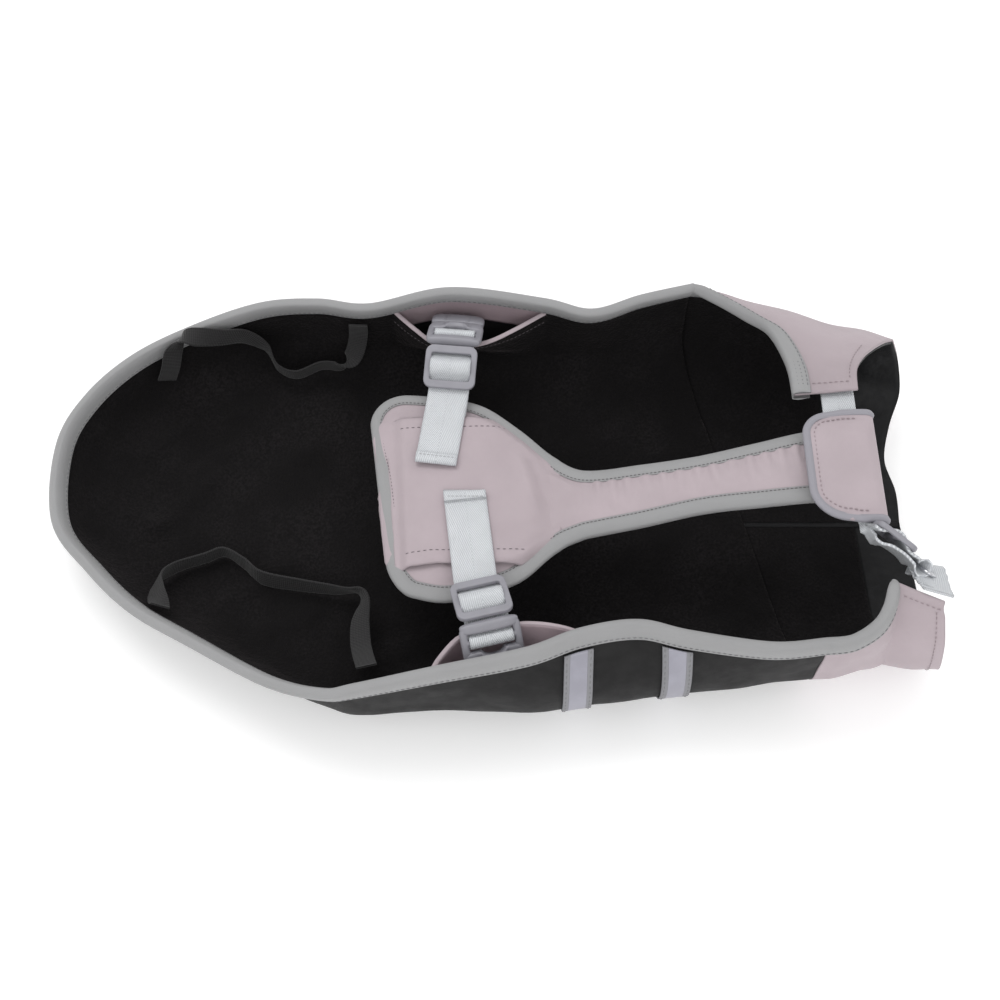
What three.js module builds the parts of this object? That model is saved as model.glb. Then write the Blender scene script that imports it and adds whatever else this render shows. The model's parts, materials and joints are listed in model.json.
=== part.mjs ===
// Dog raincoat, lying open on its back with the belly side up.
// Millimetres. +X runs toward the neck, +Y toward the far flank, +Z up.
// The back panel is the floor of a trough, its flanks rise to a bound rim, and the belly panel
// hangs across the trough between two buckled straps and the chest webbing.

import * as THREE from "three";
import { mergeVertices } from "three/addons/utils/BufferGeometryUtils.js";

// ---- cloth thicknesses and gaps -------------------------------------------------------------
const SHELL = 1.2;
const LINING = 1.5;
const GAP = 0.4;
const SEAM = 0.3;
const RIM_GAP = 0.6;
const BINDING = 0.9;
const BINDING_WIDTH = 10;
const TAPE = 1.0;
const PANEL = 2.0;
const SLEEVE = 1.2;
const BELLY_WEBBING = { width: 25, thick: 1.6 };
const CHEST_WEBBING = { width: 20, thick: 1.6 };
const ELASTIC = { width: 12, thick: 1.2 };

// ---- trough ---------------------------------------------------------------------------------
const SPINE_Y = 12;
const SEAM_X = 155;
const NAPE_X = 254;
const TAIL_FOCUS_X = -150;
const RIBS_FLANK = 29;
const RIBS_TAIL = 14;
const ROWS = 10;
const BULGE_HEIGHT = 0.45;

// Rim of the back panel, from the near yoke seam round the tail to the far yoke seam.
// bulge: how far the flank swells past the rim below it; foot: share of the rib flat on the floor;
// lean: degrees that the cloth leans outwards at the rim, or inwards where it is negative.
const RIM = [
  { x: 180, y: -105, z: 79, bulge: 1, foot: 0.5, lean: -12 },
  { x: 150, y: -106, z: 76, bulge: 4, foot: 0.5, lean: -14 },
  { x: 104, y: -101, z: 82, bulge: 15, foot: 0.5, lean: -26 },
  { x: 76, y: -96, z: 86, bulge: 24, foot: 0.5, lean: -32 },
  { x: 45, y: -101, z: 86, bulge: 23, foot: 0.5, lean: -32 },
  { x: 15, y: -112, z: 84, bulge: 15, foot: 0.5, lean: -26 },
  { x: -34, y: -121, z: 78, bulge: 5, foot: 0.5, lean: -14 },
  { x: -79, y: -127, z: 66, bulge: 0, foot: 0.5, lean: 5 },
  { x: -99, y: -128, z: 60, bulge: -6, foot: 0.48, lean: 22 },
  { x: -132, y: -118, z: 54, bulge: -12, foot: 0.46, lean: 34 },
  { x: -179, y: -91, z: 48, bulge: -14, foot: 0.44, lean: 38 },
  { x: -215, y: -69, z: 45, bulge: -14, foot: 0.44, lean: 38 },
  { x: -244, y: -42, z: 44, bulge: -14, foot: 0.44, lean: 38 },
  { x: -270, y: -8, z: 44, bulge: -14, foot: 0.44, lean: 36 },
  { x: -275, y: 45, z: 46, bulge: -12, foot: 0.44, lean: 32 },
  { x: -261, y: 79, z: 50, bulge: -10, foot: 0.44, lean: 28 },
  { x: -234, y: 107, z: 54, bulge: -7, foot: 0.45, lean: 20 },
  { x: -196, y: 126, z: 60, bulge: -3, foot: 0.46, lean: 10 },
  { x: -154, y: 139, z: 66, bulge: 2, foot: 0.48, lean: 2 },
  { x: -117, y: 139, z: 70, bulge: 4, foot: 0.5, lean: -4 },
  { x: -83, y: 132, z: 74, bulge: 5, foot: 0.5, lean: -8 },
  { x: -32, y: 137, z: 84, bulge: 5, foot: 0.5, lean: -10 },
  { x: 27, y: 130, z: 82, bulge: 5, foot: 0.5, lean: -12 },
  { x: 58, y: 123, z: 80, bulge: 6, foot: 0.5, lean: -14 },
  { x: 89, y: 131, z: 84, bulge: 6, foot: 0.5, lean: -18 },
  { x: 121, y: 135, z: 90, bulge: 7, foot: 0.5, lean: -26 },
];

// Rim of the near shoulder, from the yoke seam past the chest tab's two corners to the neck.
const SHOULDER_NEAR_RIM = [
  { x: 180, y: -105, z: 79, bulge: 1, foot: 0.5, lean: -12 },
  { x: 194, y: -105, z: 84, bulge: 0, foot: 0.5, lean: -16 },
  { x: 207, y: -98, z: 90, bulge: 4, foot: 0.5, lean: -26 },
  { x: 214, y: -88, z: 94, bulge: 12, foot: 0.5, lean: -34 },
  { x: 218, y: -76, z: 96, bulge: 22, foot: 0.5, lean: -40 },
  { x: 231, y: -80, z: 92, bulge: 20, foot: 0.52, lean: -34 },
  { x: 245, y: -84, z: 88, bulge: 18, foot: 0.55, lean: -28 },
];
const SHOULDER_NEAR_BOUND = 5;
const SHOULDER_NEAR_RIBS = { bound: 9, tab: 5 };
const NAPE_SWELL = 12;

// Bound edge of the far shoulder, from the yoke seam's corner over the top to the tab's end.
const SHOULDER_FAR_EDGE = [
  { x: 121, y: 135, z: 90 },
  { x: 137, y: 122, z: 92 },
  { x: 151, y: 110, z: 93 },
  { x: 165, y: 97, z: 94 },
  { x: 173, y: 71, z: 96 },
  { x: 174, y: 47, z: 98 },
];
// Neck edge of the far shoulder, from the nape up the far side to the tab's other corner.
const NECK_FAR = [
  { x: 254, y: 12, z: 0 },
  { x: 255, y: 36, z: 0 },
  { x: 251, y: 60, z: 0 },
  { x: 257, y: 86, z: 3 },
  { x: 264, y: 106, z: 14 },
  { x: 260, y: 117, z: 35 },
  { x: 252, y: 118, z: 56 },
];
const NECK_FAR_TOP = [
  { x: 252, y: 118, z: 56 },
  { x: 238, y: 100, z: 76 },
  { x: 222, y: 82, z: 89 },
  { x: 214, y: 67, z: 95 },
  { x: 212, y: 51, z: 97 },
];
const SHOULDER_FAR_COLUMNS = 9;
const SHOULDER_FAR_TOP_ROWS = 8;

// ---- pockets for the belly buckles ----------------------------------------------------------
// from and to: where the pocket's lips meet the binding; swell: how far the lining stands inwards;
// skew moves the widest place toward from, power flattens the middle.
const POCKETS = {
  far: { from: -66, to: 32, swell: 29, skew: 0.66, power: 2 },
  near: { from: 48, to: -42, swell: 29, skew: 1.25, power: 3 },
};
const POCKET_REACH = 78;
const POCKET_FULL = 18;
const POCKET_LIP_DROP = 12;
const POCKET_ROWS = 3;
const POCKET_LEAST = 0.2;

// ---- belly panel ----------------------------------------------------------------------------
// Edges of the panel's width and the height of its middle, from the tail end to the chest.
const BELLY = [
  { x: -72, near: -50, far: 58, z: 58 },
  { x: -52, near: -62, far: 69, z: 59 },
  { x: -32, near: -69, far: 69, z: 60 },
  { x: -10, near: -65, far: 64, z: 61 },
  { x: 12, near: -56, far: 47, z: 61 },
  { x: 34, near: -36, far: 25, z: 62 },
  { x: 50, near: -28, far: 16, z: 63 },
  { x: 84, near: -23, far: 17, z: 68 },
  { x: 119, near: -18, far: 19, z: 75 },
  { x: 152, near: -18, far: 22, z: 82 },
  { x: 184, near: -19, far: 25, z: 88 },
];
const BELLY_CROWN = 3;
const BELLY_END_SLANT = 8;
const BELLY_CORNER = 13;
const RUCHES = { from: 52, to: 180, count: 13, height: 1.1 };
const SLEEVE_SPAN = { from: -60, to: 36, near: -44, far: 54, lift: 3.4 };
const WEBBING_LIFT = 1.1;

// ---- hardware -------------------------------------------------------------------------------
const SLIDER = { width: 31.5, length: 27, thick: 3.6, window: 26.2, bar: 4, rim: 3.2 };
const MALE = { width: 33, length: 25, thick: 4, window: 26.2, bar: 3.6, rim: 3.2, body: 5.4 };
const FEMALE = { width: 32, length: 14, thick: 7 };
const CHEST_SLIDER = { width: 26, length: 26, thick: 3.2, window: 21.2, bar: 3.6, rim: 3 };
const RING = { width: 27, length: 12, wire: 2.6 };
// Each strap lies in an upright plane: the middle of its slider, the way to the buckle on plan,
// the slider's rise and the buckle's drop in degrees, and how far back the free end's tip lies.
const STRAPS = {
  far: { x: -30, y: 84, z: 75, way: [0.13, 0.99], rise: 10, drop: 32, tip: 66, slot: -31 },
  near: { x: -11, y: -73, z: 77, way: [0.17, -0.985], rise: 2, drop: 45, tip: 75, slot: -31 },
};
const PLATE_GAP = 2.6;
const ANCHOR_DROP = 10;

// ---- reflective strips: where they cross the rim ---------------------------------------------
const STRIPS = [
  { name: "strip_near_1", from: 35, to: 51 },
  { name: "strip_near_2", from: 89, to: 106 },
  { name: "strip_far_1", from: 35, to: 51 },
  { name: "strip_far_2", from: 89, to: 106 },
];
// Rows of the flank that a strip spans, counted from the row under the binding.
const STRIP_ROWS = { low: -4.1, high: -0.08 };

// ---- chest ----------------------------------------------------------------------------------
const FLAP = { thick: 1.8, far: 35, near: -38, fold: 213, end: 177, low: 91, high: 98.4, start: 186.5 };
const FLAP_CORNER = 5;
const PIPING_WIDTH = 3;
// Chest webbing from under the far tab through the flap; turn is 0 where it lies flat.
const CHEST_RUN = [
  { x: 197, y: 74, z: 89.2, turn: 0 },
  { x: 198, y: 58, z: 91.6, turn: 0 },
  { x: 198.5, y: 40, z: 94.2, turn: 0 },
  { x: 198.5, y: 10, z: 94.7, turn: 0 },
  { x: 197.5, y: -20, z: 94.7, turn: 0 },
  { x: 196, y: -35, z: 94.3, turn: 0 },
  { x: 196, y: -42, z: 93.7, turn: 0 },
  { x: 198.5, y: -47, z: 93.4, turn: 45 },
  { x: 202, y: -51, z: 93, turn: 85 },
  { x: 206.5, y: -54, z: 93, turn: 90 },
];
// Behind the flap the doubled run stands on its edge, along its own way, with its slider.
const CHEST_END = { x: 218.5, y: -52, z: 93, way: [0.72, -0.69] };
// Ring between the chest webbing and its loop: its near bar in the slider's own measures, and the
// way on plan from that bar to the far one.
const RING_PLACE = { along: 18.5, behind: 4.5, way: [0.93, -0.37] };

// ---- elastics: route, and the direction of the tape's width -----------------------------------
const ELASTIC_NEAR = [
  { x: -199, y: -64, z: 42, ax: 0.8, ay: -0.6, az: 0 },
  { x: -205, y: -50, z: 33, ax: 0.8, ay: 0, az: 0.6 },
  { x: -207, y: -36, z: 23, ax: 0.4, ay: 0.2, az: 0.9 },
  { x: -198, y: -24, z: 15, ax: 0, ay: 0, az: 1 },
  { x: -182, y: -17, z: 13, ax: 0, ay: 0, az: 1 },
  { x: -171, y: -13, z: 13, ax: 0, ay: 0, az: 1 },
  { x: -158, y: -21, z: 13, ax: 0, ay: 0.2, az: 1 },
  { x: -146, y: -31, z: 13, ax: 0, ay: 0.3, az: 0.95 },
  { x: -122, y: -36, z: 13, ax: 0, ay: 0.2, az: 1 },
  { x: -101, y: -40, z: 15, ax: 0, ay: 0, az: 1 },
  { x: -88, y: -43, z: 19, ax: 0, ay: -0.3, az: 0.95 },
  { x: -82, y: -52, z: 24, ax: 0.5, ay: 0, az: 0.8 },
  { x: -83, y: -68, z: 27, ax: 0.9, ay: 0.2, az: 0.3 },
  { x: -81, y: -86, z: 33, ax: 1, ay: 0.2, az: 0 },
  { x: -76, y: -104, z: 46, ax: 1, ay: 0.2, az: 0 },
];
const ELASTIC_FAR = [
  { x: -91, y: 126, z: 61, ax: 1, ay: 0, az: 0 },
  { x: -92, y: 125, z: 48, ax: 1, ay: 0, az: 0.1 },
  { x: -96, y: 120, z: 36, ax: 0.9, ay: 0, az: 0.4 },
  { x: -104, y: 117, z: 29, ax: 0.5, ay: -0.2, az: 0.8 },
  { x: -118, y: 119, z: 26, ax: 0.1, ay: -0.2, az: 1 },
  { x: -134, y: 114, z: 23, ax: 0, ay: -0.2, az: 1 },
  { x: -146, y: 118, z: 25, ax: 0, ay: -0.2, az: 1 },
  { x: -154, y: 127, z: 35, ax: 0, ay: -0.1, az: 1 },
  { x: -166, y: 127, z: 47, ax: 0, ay: 0, az: 1 },
  { x: -179, y: 119, z: 57, ax: 0, ay: 0.2, az: 1 },
  { x: -190, y: 112, z: 67, ax: 0.2, ay: 0.8, az: 0.5 },
  { x: -200, y: 110, z: 69, ax: 0.3, ay: 1, az: -0.2 },
  { x: -207, y: 106, z: 60, ax: 0.9, ay: 0.4, az: -0.4 },
  { x: -211, y: 103, z: 47, ax: 0.95, ay: 0.3, az: 0 },
  { x: -216, y: 102, z: 34, ax: 0.95, ay: 0.3, az: 0 },
];

// ---- colours --------------------------------------------------------------------------------
const COLOURS = {
  shell: { color: 0x2b2b2c, roughness: 0.72 },
  fleece: { color: 0x0d0c0c, roughness: 0.95 },
  pink: { color: 0xb9a9ad, roughness: 0.7 },
  binding: { color: 0x9b9b9b, roughness: 0.75 },
  piping: { color: 0x8e8c96, roughness: 0.7 },
  plastic: { color: 0x918f99, roughness: 0.4 },
  webbing: { color: 0xc7cacc, roughness: 0.5 },
  reflective: { color: 0xb3b1be, roughness: 0.35 },
  elastic: { color: 0x141414, roughness: 0.9 },
  metal: { color: 0xc4c4c8, roughness: 0.25, metalness: 0.9 },
};

// ---- small tools ----------------------------------------------------------------------------
const lerp = (a, b, t) => a + (b - a) * t;
const clamp01 = (t) => Math.min(1, Math.max(0, t));
const smooth = (t) => clamp01(t) ** 2 * (3 - 2 * clamp01(t));
const radians = (degrees) => (degrees * Math.PI) / 180;
const point = (x, y, z) => new THREE.Vector3(x, y, z);
const shifted = (p, direction, distance) => p.clone().addScaledVector(direction, distance);

// Smooth curve through a table's rows: every column is interpolated at u from 0 to rows - 1.
function rowAt(rows, u) {
  const i = Math.min(rows.length - 2, Math.max(0, Math.floor(u)));
  const t = u - i;
  const row = (k) => rows[Math.min(rows.length - 1, Math.max(0, k))];
  const out = {};
  for (const key of Object.keys(rows[0])) {
    const [a, b, c, d] = [row(i - 1)[key], row(i)[key], row(i + 1)[key], row(i + 2)[key]];
    const tangents = [(c - a) / 2, (d - b) / 2];
    const t2 = t * t;
    const t3 = t2 * t;
    out[key] =
      (2 * t3 - 3 * t2 + 1) * b +
      (t3 - 2 * t2 + t) * tangents[0] +
      (3 * t2 - 2 * t3) * c +
      (t3 - t2) * tangents[1];
  }
  return out;
}

// Rows at even distances along a table's curve.
function evenRows(rows, count, from = 0, to = 1) {
  const fine = 24 * (rows.length - 1);
  const travelled = [0];
  let last = rowAt(rows, 0);
  for (let k = 1; k <= fine; k++) {
    const next = rowAt(rows, (k / fine) * (rows.length - 1));
    const step = Math.hypot(next.x - last.x, next.y - last.y, next.z - last.z);
    travelled.push(travelled[k - 1] + step);
    last = next;
  }
  const whole = travelled[fine];
  const out = [];
  for (let n = 0; n <= count; n++) {
    const wanted = whole * lerp(from, to, n / count);
    let k = 1;
    while (k < fine && travelled[k] < wanted) k++;
    const part = clamp01((wanted - travelled[k - 1]) / (travelled[k] - travelled[k - 1]));
    out.push(rowAt(rows, ((k - 1 + part) / fine) * (rows.length - 1)));
  }
  return out;
}

// Column of a short table, joined by smooth steps, at any x.
function columnAt(rows, key, x) {
  let i = 0;
  while (i < rows.length - 2 && rows[i + 1].x < x) i++;
  const u = i + (x - rows[i].x) / (rows[i + 1].x - rows[i].x);
  return rowAt(rows, Math.min(rows.length - 1, Math.max(0, u)))[key];
}

// Outward normals of a grid of points, from the steps to their neighbours.
function gridNormals(grid) {
  return grid.map((column, i) =>
    column.map((p, j) => {
      const before = grid[Math.max(0, i - 1)][j];
      const after = grid[Math.min(grid.length - 1, i + 1)][j];
      const below = column[Math.max(0, j - 1)];
      const above = column[Math.min(column.length - 1, j + 1)];
      const normal = above.clone().sub(below).cross(after.clone().sub(before));
      return normal.lengthSq() > 1e-9 ? normal.normalize() : point(0, 0, -1);
    })
  );
}

// Triangles between the columns of a grid, facing along its normals.
function gridFaces(grid) {
  const faces = [];
  for (let i = 0; i + 1 < grid.length; i++) {
    for (let j = 0; j + 1 < grid[0].length; j++) {
      faces.push([[i, j], [i, j + 1], [i + 1, j + 1]]);
      faces.push([[i, j], [i + 1, j + 1], [i + 1, j]]);
    }
  }
  return faces;
}

function geometryOf(triangles) {
  const positions = triangles.flatMap((t) => t.flatMap((p) => [p.x, p.y, p.z]));
  const geometry = new THREE.BufferGeometry();
  geometry.setAttribute("position", new THREE.Float32BufferAttribute(positions, 3));
  const merged = mergeVertices(geometry, 1e-3);
  merged.computeVertexNormals();
  return merged;
}

// Cloth wall on a grid: its faces lie at two distances along the normals, outer > inner, and its
// open edges are closed between them. Points that coincide are one, so a grid may close on itself.
// raised adds to the outer face alone, as ruching does; kept says which cells are cloth.
function clothWall(grid, normals, outer, inner, raised = () => 0, kept = () => true) {
  const names = new Map();
  const points = [];
  const sums = [];
  const extra = [];
  const idOf = (i, j) => {
    const p = grid[i][j];
    const key = [p.x, p.y, p.z].map((c) => Math.round(c * 200)).join();
    if (!names.has(key)) {
      names.set(key, points.length);
      points.push(p);
      sums.push(point(0, 0, 0));
      extra.push(raised(i, j));
    }
    return names.get(key);
  };
  grid.forEach((column, i) => column.forEach((p, j) => sums[idOf(i, j)].add(normals[i][j])));
  const out = points.map((p, k) => shifted(p, sums[k].normalize(), outer + extra[k]));
  const into = points.map((p, k) => shifted(p, sums[k], inner));
  const edges = new Map();
  const triangles = [];
  for (const face of gridFaces(grid)) {
    if (!kept(...face[0])) continue;
    const [a, b, c] = face.map(([i, j]) => idOf(i, j));
    if (a === b || b === c || a === c) continue;
    triangles.push([out[a], out[b], out[c]], [into[a], into[c], into[b]]);
    for (const [from, to] of [[a, b], [b, c], [c, a]]) {
      if (!edges.delete(`${to},${from}`)) edges.set(`${from},${to}`, [from, to]);
    }
  }
  for (const [from, to] of edges.values()) {
    triangles.push([out[to], out[from], into[from]], [out[to], into[from], into[to]]);
  }
  return geometryOf(triangles);
}

// Closed loft through sections that all have the same number of points, in the same order.
// crosses says, for two neighbours and a side of the section, which way its quads are split.
function loft(sections, crosses = () => false) {
  const triangles = [];
  const count = sections[0].length;
  for (let k = 0; k + 1 < sections.length; k++) {
    for (let a = 0; a < count; a++) {
      const b = (a + 1) % count;
      const [here, next] = [sections[k], sections[k + 1]];
      if (crosses(k, a)) {
        triangles.push([here[a], here[b], next[a]], [here[b], next[b], next[a]]);
      } else {
        triangles.push([here[a], here[b], next[b]], [here[a], next[b], next[a]]);
      }
    }
  }
  return { triangles, first: sections[0], last: sections[sections.length - 1] };
}

// Ends of a loft whose section is a rectangle, or a U of two legs and a web.
function capped(body, quads) {
  const triangles = [...body.triangles];
  for (const [a, b, c, d] of quads) {
    const [f, l] = [body.first, body.last];
    triangles.push([f[a], f[c], f[b]], [f[a], f[d], f[c]]);
    triangles.push([l[a], l[b], l[c]], [l[a], l[c], l[d]]);
  }
  return triangles;
}

// Volume below zero means that the faces look inwards, and they are turned.
function facingOut(triangles) {
  const volume = triangles.reduce((sum, [a, b, c]) => sum + a.dot(b.clone().cross(c)), 0);
  return geometryOf(volume > 0 ? triangles : triangles.map(([a, b, c]) => [a, c, b]));
}

// Flat ribbon along stations { at, across }, where across is the direction of its width.
function ribbon(stations, { width, thick }) {
  const sections = stations.map(({ at, across }, k) => {
    const before = stations[Math.max(0, k - 1)].at;
    const after = stations[Math.min(stations.length - 1, k + 1)].at;
    const along = after.clone().sub(before).normalize();
    const up = across.clone().cross(along).normalize();
    const wide = along.clone().cross(up).normalize();
    const corner = (w, t) => shifted(shifted(at, wide, (w * width) / 2), up, (t * thick) / 2);
    return [corner(-1, -1), corner(1, -1), corner(1, 1), corner(-1, 1)];
  });
  return facingOut(capped(loft(sections), [[0, 1, 2, 3]]));
}

const root = new THREE.Group();

function add(name, geometry, look) {
  const mesh = new THREE.Mesh(geometry, new THREE.MeshStandardMaterial(COLOURS[look]));
  mesh.name = name;
  root.add(mesh);
  return mesh;
}

// ---- ribs of the trough ---------------------------------------------------------------------
// Height and reach of a rib: flat to its foot, a quarter ellipse to the bulge, then up to the rim.
function ribProfile({ reach, z, bulge, foot, lean }) {
  const flat = foot * reach;
  const side = { l: reach + bulge, h: BULGE_HEIGHT * z };
  const sideLean = radians(Math.max(0, lean) * 0.9);
  const topLean = radians(lean);
  const pull = 0.55;
  const bezier = (a, b, c, d, t) =>
    a * (1 - t) ** 3 + 3 * b * t * (1 - t) ** 2 + 3 * c * t * t * (1 - t) + d * t ** 3;
  const low = {
    l: [flat, lerp(flat, side.l, pull), side.l - Math.sin(sideLean) * side.h * pull, side.l],
    h: [0, 0, side.h - Math.cos(sideLean) * side.h * pull, side.h],
  };
  const rise = Math.hypot(reach - side.l, z - side.h) * 0.4;
  const high = {
    l: [side.l, side.l + Math.sin(sideLean) * rise, reach - Math.sin(topLean) * rise, reach],
    h: [side.h, side.h + Math.cos(sideLean) * rise, z - Math.cos(topLean) * rise, z],
  };
  const path = [{ l: 0, h: 0 }];
  for (const curve of [low, high]) {
    for (let k = 0; k <= 24; k++) {
      path.push({ l: bezier(...curve.l, k / 24), h: bezier(...curve.h, k / 24) });
    }
  }
  return path;
}

// Points at given distances along a path of { l, h }, measured from its far end.
function fromEnd(path, depths) {
  const travelled = [0];
  for (let k = 1; k < path.length; k++) {
    const step = Math.hypot(path[k].l - path[k - 1].l, path[k].h - path[k - 1].h);
    travelled.push(travelled[k - 1] + step);
  }
  const whole = travelled[path.length - 1];
  return depths(whole).map((depth) => {
    const wanted = whole - depth;
    let k = 1;
    while (k < path.length - 1 && travelled[k] < wanted) k++;
    const part = clamp01((wanted - travelled[k - 1]) / Math.max(1e-9, travelled[k] - travelled[k - 1]));
    return {
      l: lerp(path[k - 1].l, path[k].l, part),
      h: lerp(path[k - 1].h, path[k].h, part),
    };
  });
}

// Depths below the rim of a rib's points, spine first: even cells, and a last one under the binding.
const rowDepths = (whole) => {
  const cells = ROWS - 1;
  const depths = [];
  for (let j = 0; j <= cells; j++) depths.push(lerp(whole, BINDING_WIDTH, j / cells));
  return [...depths, 0];
};

// Rib from a point of the spine to a row of a rim table, at the given depths below the rim.
function rib(spineX, rim, depths = rowDepths) {
  const way = new THREE.Vector2(rim.x - spineX, rim.y - SPINE_Y);
  const reach = way.length();
  way.normalize();
  return fromEnd(ribProfile({ ...rim, reach }), depths).map(({ l, h }) =>
    point(spineX + way.x * l, SPINE_Y + way.y * l, h)
  );
}

// Where the tail fan starts and ends along the rim.
const FAN = { from: 0.375, to: 0.632 };
const bodyRibs = [
  ...evenRows(RIM, RIBS_FLANK, 0, FAN.from).map((rim, k) => ({ rim, share: k / RIBS_FLANK })),
  ...evenRows(RIM, RIBS_TAIL, FAN.from, FAN.to).slice(1, -1).map((rim) => ({ rim, share: 1 })),
  ...evenRows(RIM, RIBS_FLANK, FAN.to, 1).map((rim, k) => ({ rim, share: 1 - k / RIBS_FLANK })),
].map(({ rim, share }) => ({ rim, spineX: lerp(SEAM_X, TAIL_FOCUS_X, share) }));
const body = bodyRibs.map(({ rim, spineX }) => rib(spineX, rim));
const bodyNormals = gridNormals(body);
const EDGE = ROWS;
const BOUND = ROWS - 1;

add("back_shell", clothWall(body, bodyNormals, 0, -SHELL), "shell");

// ---- shoulders of the yoke ------------------------------------------------------------------
// Nape edge of the near shoulder swells past the straight line from the nape to the tab.
// Its ribs run from the neck back to the seam, as the body's run from the seam to the tail.
const nearRim = [
  ...evenRows(SHOULDER_NEAR_RIM.slice(0, SHOULDER_NEAR_BOUND), SHOULDER_NEAR_RIBS.bound),
  ...evenRows(SHOULDER_NEAR_RIM.slice(SHOULDER_NEAR_BOUND - 1), SHOULDER_NEAR_RIBS.tab).slice(1),
].reverse();
const NEAR_SEAM = nearRim.length - 1;
const nearRibs = nearRim.map((rim, k) => {
  const share = 1 - k / NEAR_SEAM;
  const spineX = lerp(SEAM_X + SEAM, NAPE_X, share);
  return rib(spineX, rim).map((p, j) => {
    const swell = NAPE_SWELL * share ** 3 * Math.sin(Math.PI * clamp01((j / ROWS) * 1.05));
    const start = k === NEAR_SEAM ? SEAM * (j / ROWS) : 0;
    return point(p.x + swell + start, p.y - SEAM * (1 - j / ROWS), p.z);
  });
});
const nearNormals = gridNormals(nearRibs);
nearNormals[NEAR_SEAM] = bodyNormals[0];
add("shoulder_near", clothWall(nearRibs, nearNormals, 0, -SHELL), "pink");

const farSeam = body[body.length - 1];
const farBound = evenRows(SHOULDER_FAR_EDGE, SHOULDER_FAR_TOP_ROWS).slice(1);
const farEdge = [...farSeam, ...farBound.map(({ x, y, z }) => point(x, y, z))];
const farNeck = [
  ...evenRows(NECK_FAR, ROWS),
  ...evenRows(NECK_FAR_TOP, SHOULDER_FAR_TOP_ROWS).slice(1),
].map(({ x, y, z }) => point(x, y, Math.max(0, z)));
const farColumns = [];
for (let k = 0; k <= SHOULDER_FAR_COLUMNS; k++) {
  farColumns.push(
    farEdge.map((edge, j) => {
      const across = farNeck[j].clone().sub(edge);
      const before = farEdge[Math.max(0, j - 1)];
      const after = farEdge[Math.min(farEdge.length - 1, j + 1)];
      const slant = Math.max(0.6, across.angleTo(after.clone().sub(before)) > 0
        ? Math.sin(across.angleTo(after.clone().sub(before))) : 1);
      const first = BINDING_WIDTH / slant / across.length();
      const share = k === 0 ? 0 : lerp(first, 1, (k - 1) / (SHOULDER_FAR_COLUMNS - 1));
      const start = j <= ROWS ? SEAM / across.length() : 0;
      return edge.clone().addScaledVector(across, lerp(start, 1, share));
    })
  );
}
const farNormals = gridNormals(farColumns);
bodyNormals[bodyNormals.length - 1].forEach((normal, j) => (farNormals[0][j] = normal));
add("shoulder_far", clothWall(farColumns, farNormals, 0, -SHELL), "pink");

// ---- lining ---------------------------------------------------------------------------------
const LINING_OUT = -(SHELL + GAP);
const LINING_IN = -(SHELL + GAP + LINING);

// How far the pocket at a rib stands open, from 0 at its ends to 1, or null away from a pocket.
function pocketOpen(k) {
  const pocket = k <= RIBS_FLANK ? POCKETS.near : k >= body.length - 1 - RIBS_FLANK ? POCKETS.far : null;
  if (!pocket) return null;
  const place = (bodyRibs[k].rim.x - pocket.from) / (pocket.to - pocket.from);
  if (place < 0 || place > 1) return null;
  const inner = clamp01(place * 1.2 - 0.1);
  return { pocket, open: 1 - Math.abs(2 * inner ** pocket.skew - 1) ** pocket.power };
}

// The ribs beside a pocket have its lip too, still shut.
function pocketShare(k) {
  const beside = [k - 1, k + 1].map((n) => (n >= 0 && n < body.length ? pocketOpen(n) : null));
  const open = beside.find((share) => share && share.open > 0);
  return pocketOpen(k) ?? (open ? { pocket: open.pocket, open: 0 } : null);
}

// Middle of the lining: it follows the shell, and at a pocket it swells inwards below its lip.
const liningMiddle = body.map((points, k) => {
  const share = pocketShare(k);
  const whole = (depths) => (all) => depths(rowDepths(all));
  const dropped = share
    ? rib(bodyRibs[k].spineX, bodyRibs[k].rim, whole((d) =>
        d.map((depth, j) => (j < BOUND ? depth : BINDING_WIDTH + 0.3 + POCKET_LIP_DROP * share.open))))
    : points;
  let depth = 0;
  const depthOf = points.map(() => 0);
  for (let j = EDGE - 1; j >= 0; j--) {
    depth += points[j].distanceTo(points[j + 1]);
    depthOf[j] = depth;
  }
  return dropped.map((p, j) => {
    const deep = share && j >= BOUND ? BINDING_WIDTH + POCKET_LIP_DROP * share.open : depthOf[j];
    const swell = share
      ? share.pocket.swell * share.open * smooth((POCKET_REACH - deep) / (POCKET_REACH - POCKET_FULL))
      : 0;
    const normal = bodyNormals[k][share ? Math.min(j, BOUND) : j];
    return shifted(p, normal, (LINING_OUT + LINING_IN) / 2 - swell);
  });
});
const liningNormals = gridNormals(liningMiddle);

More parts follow.
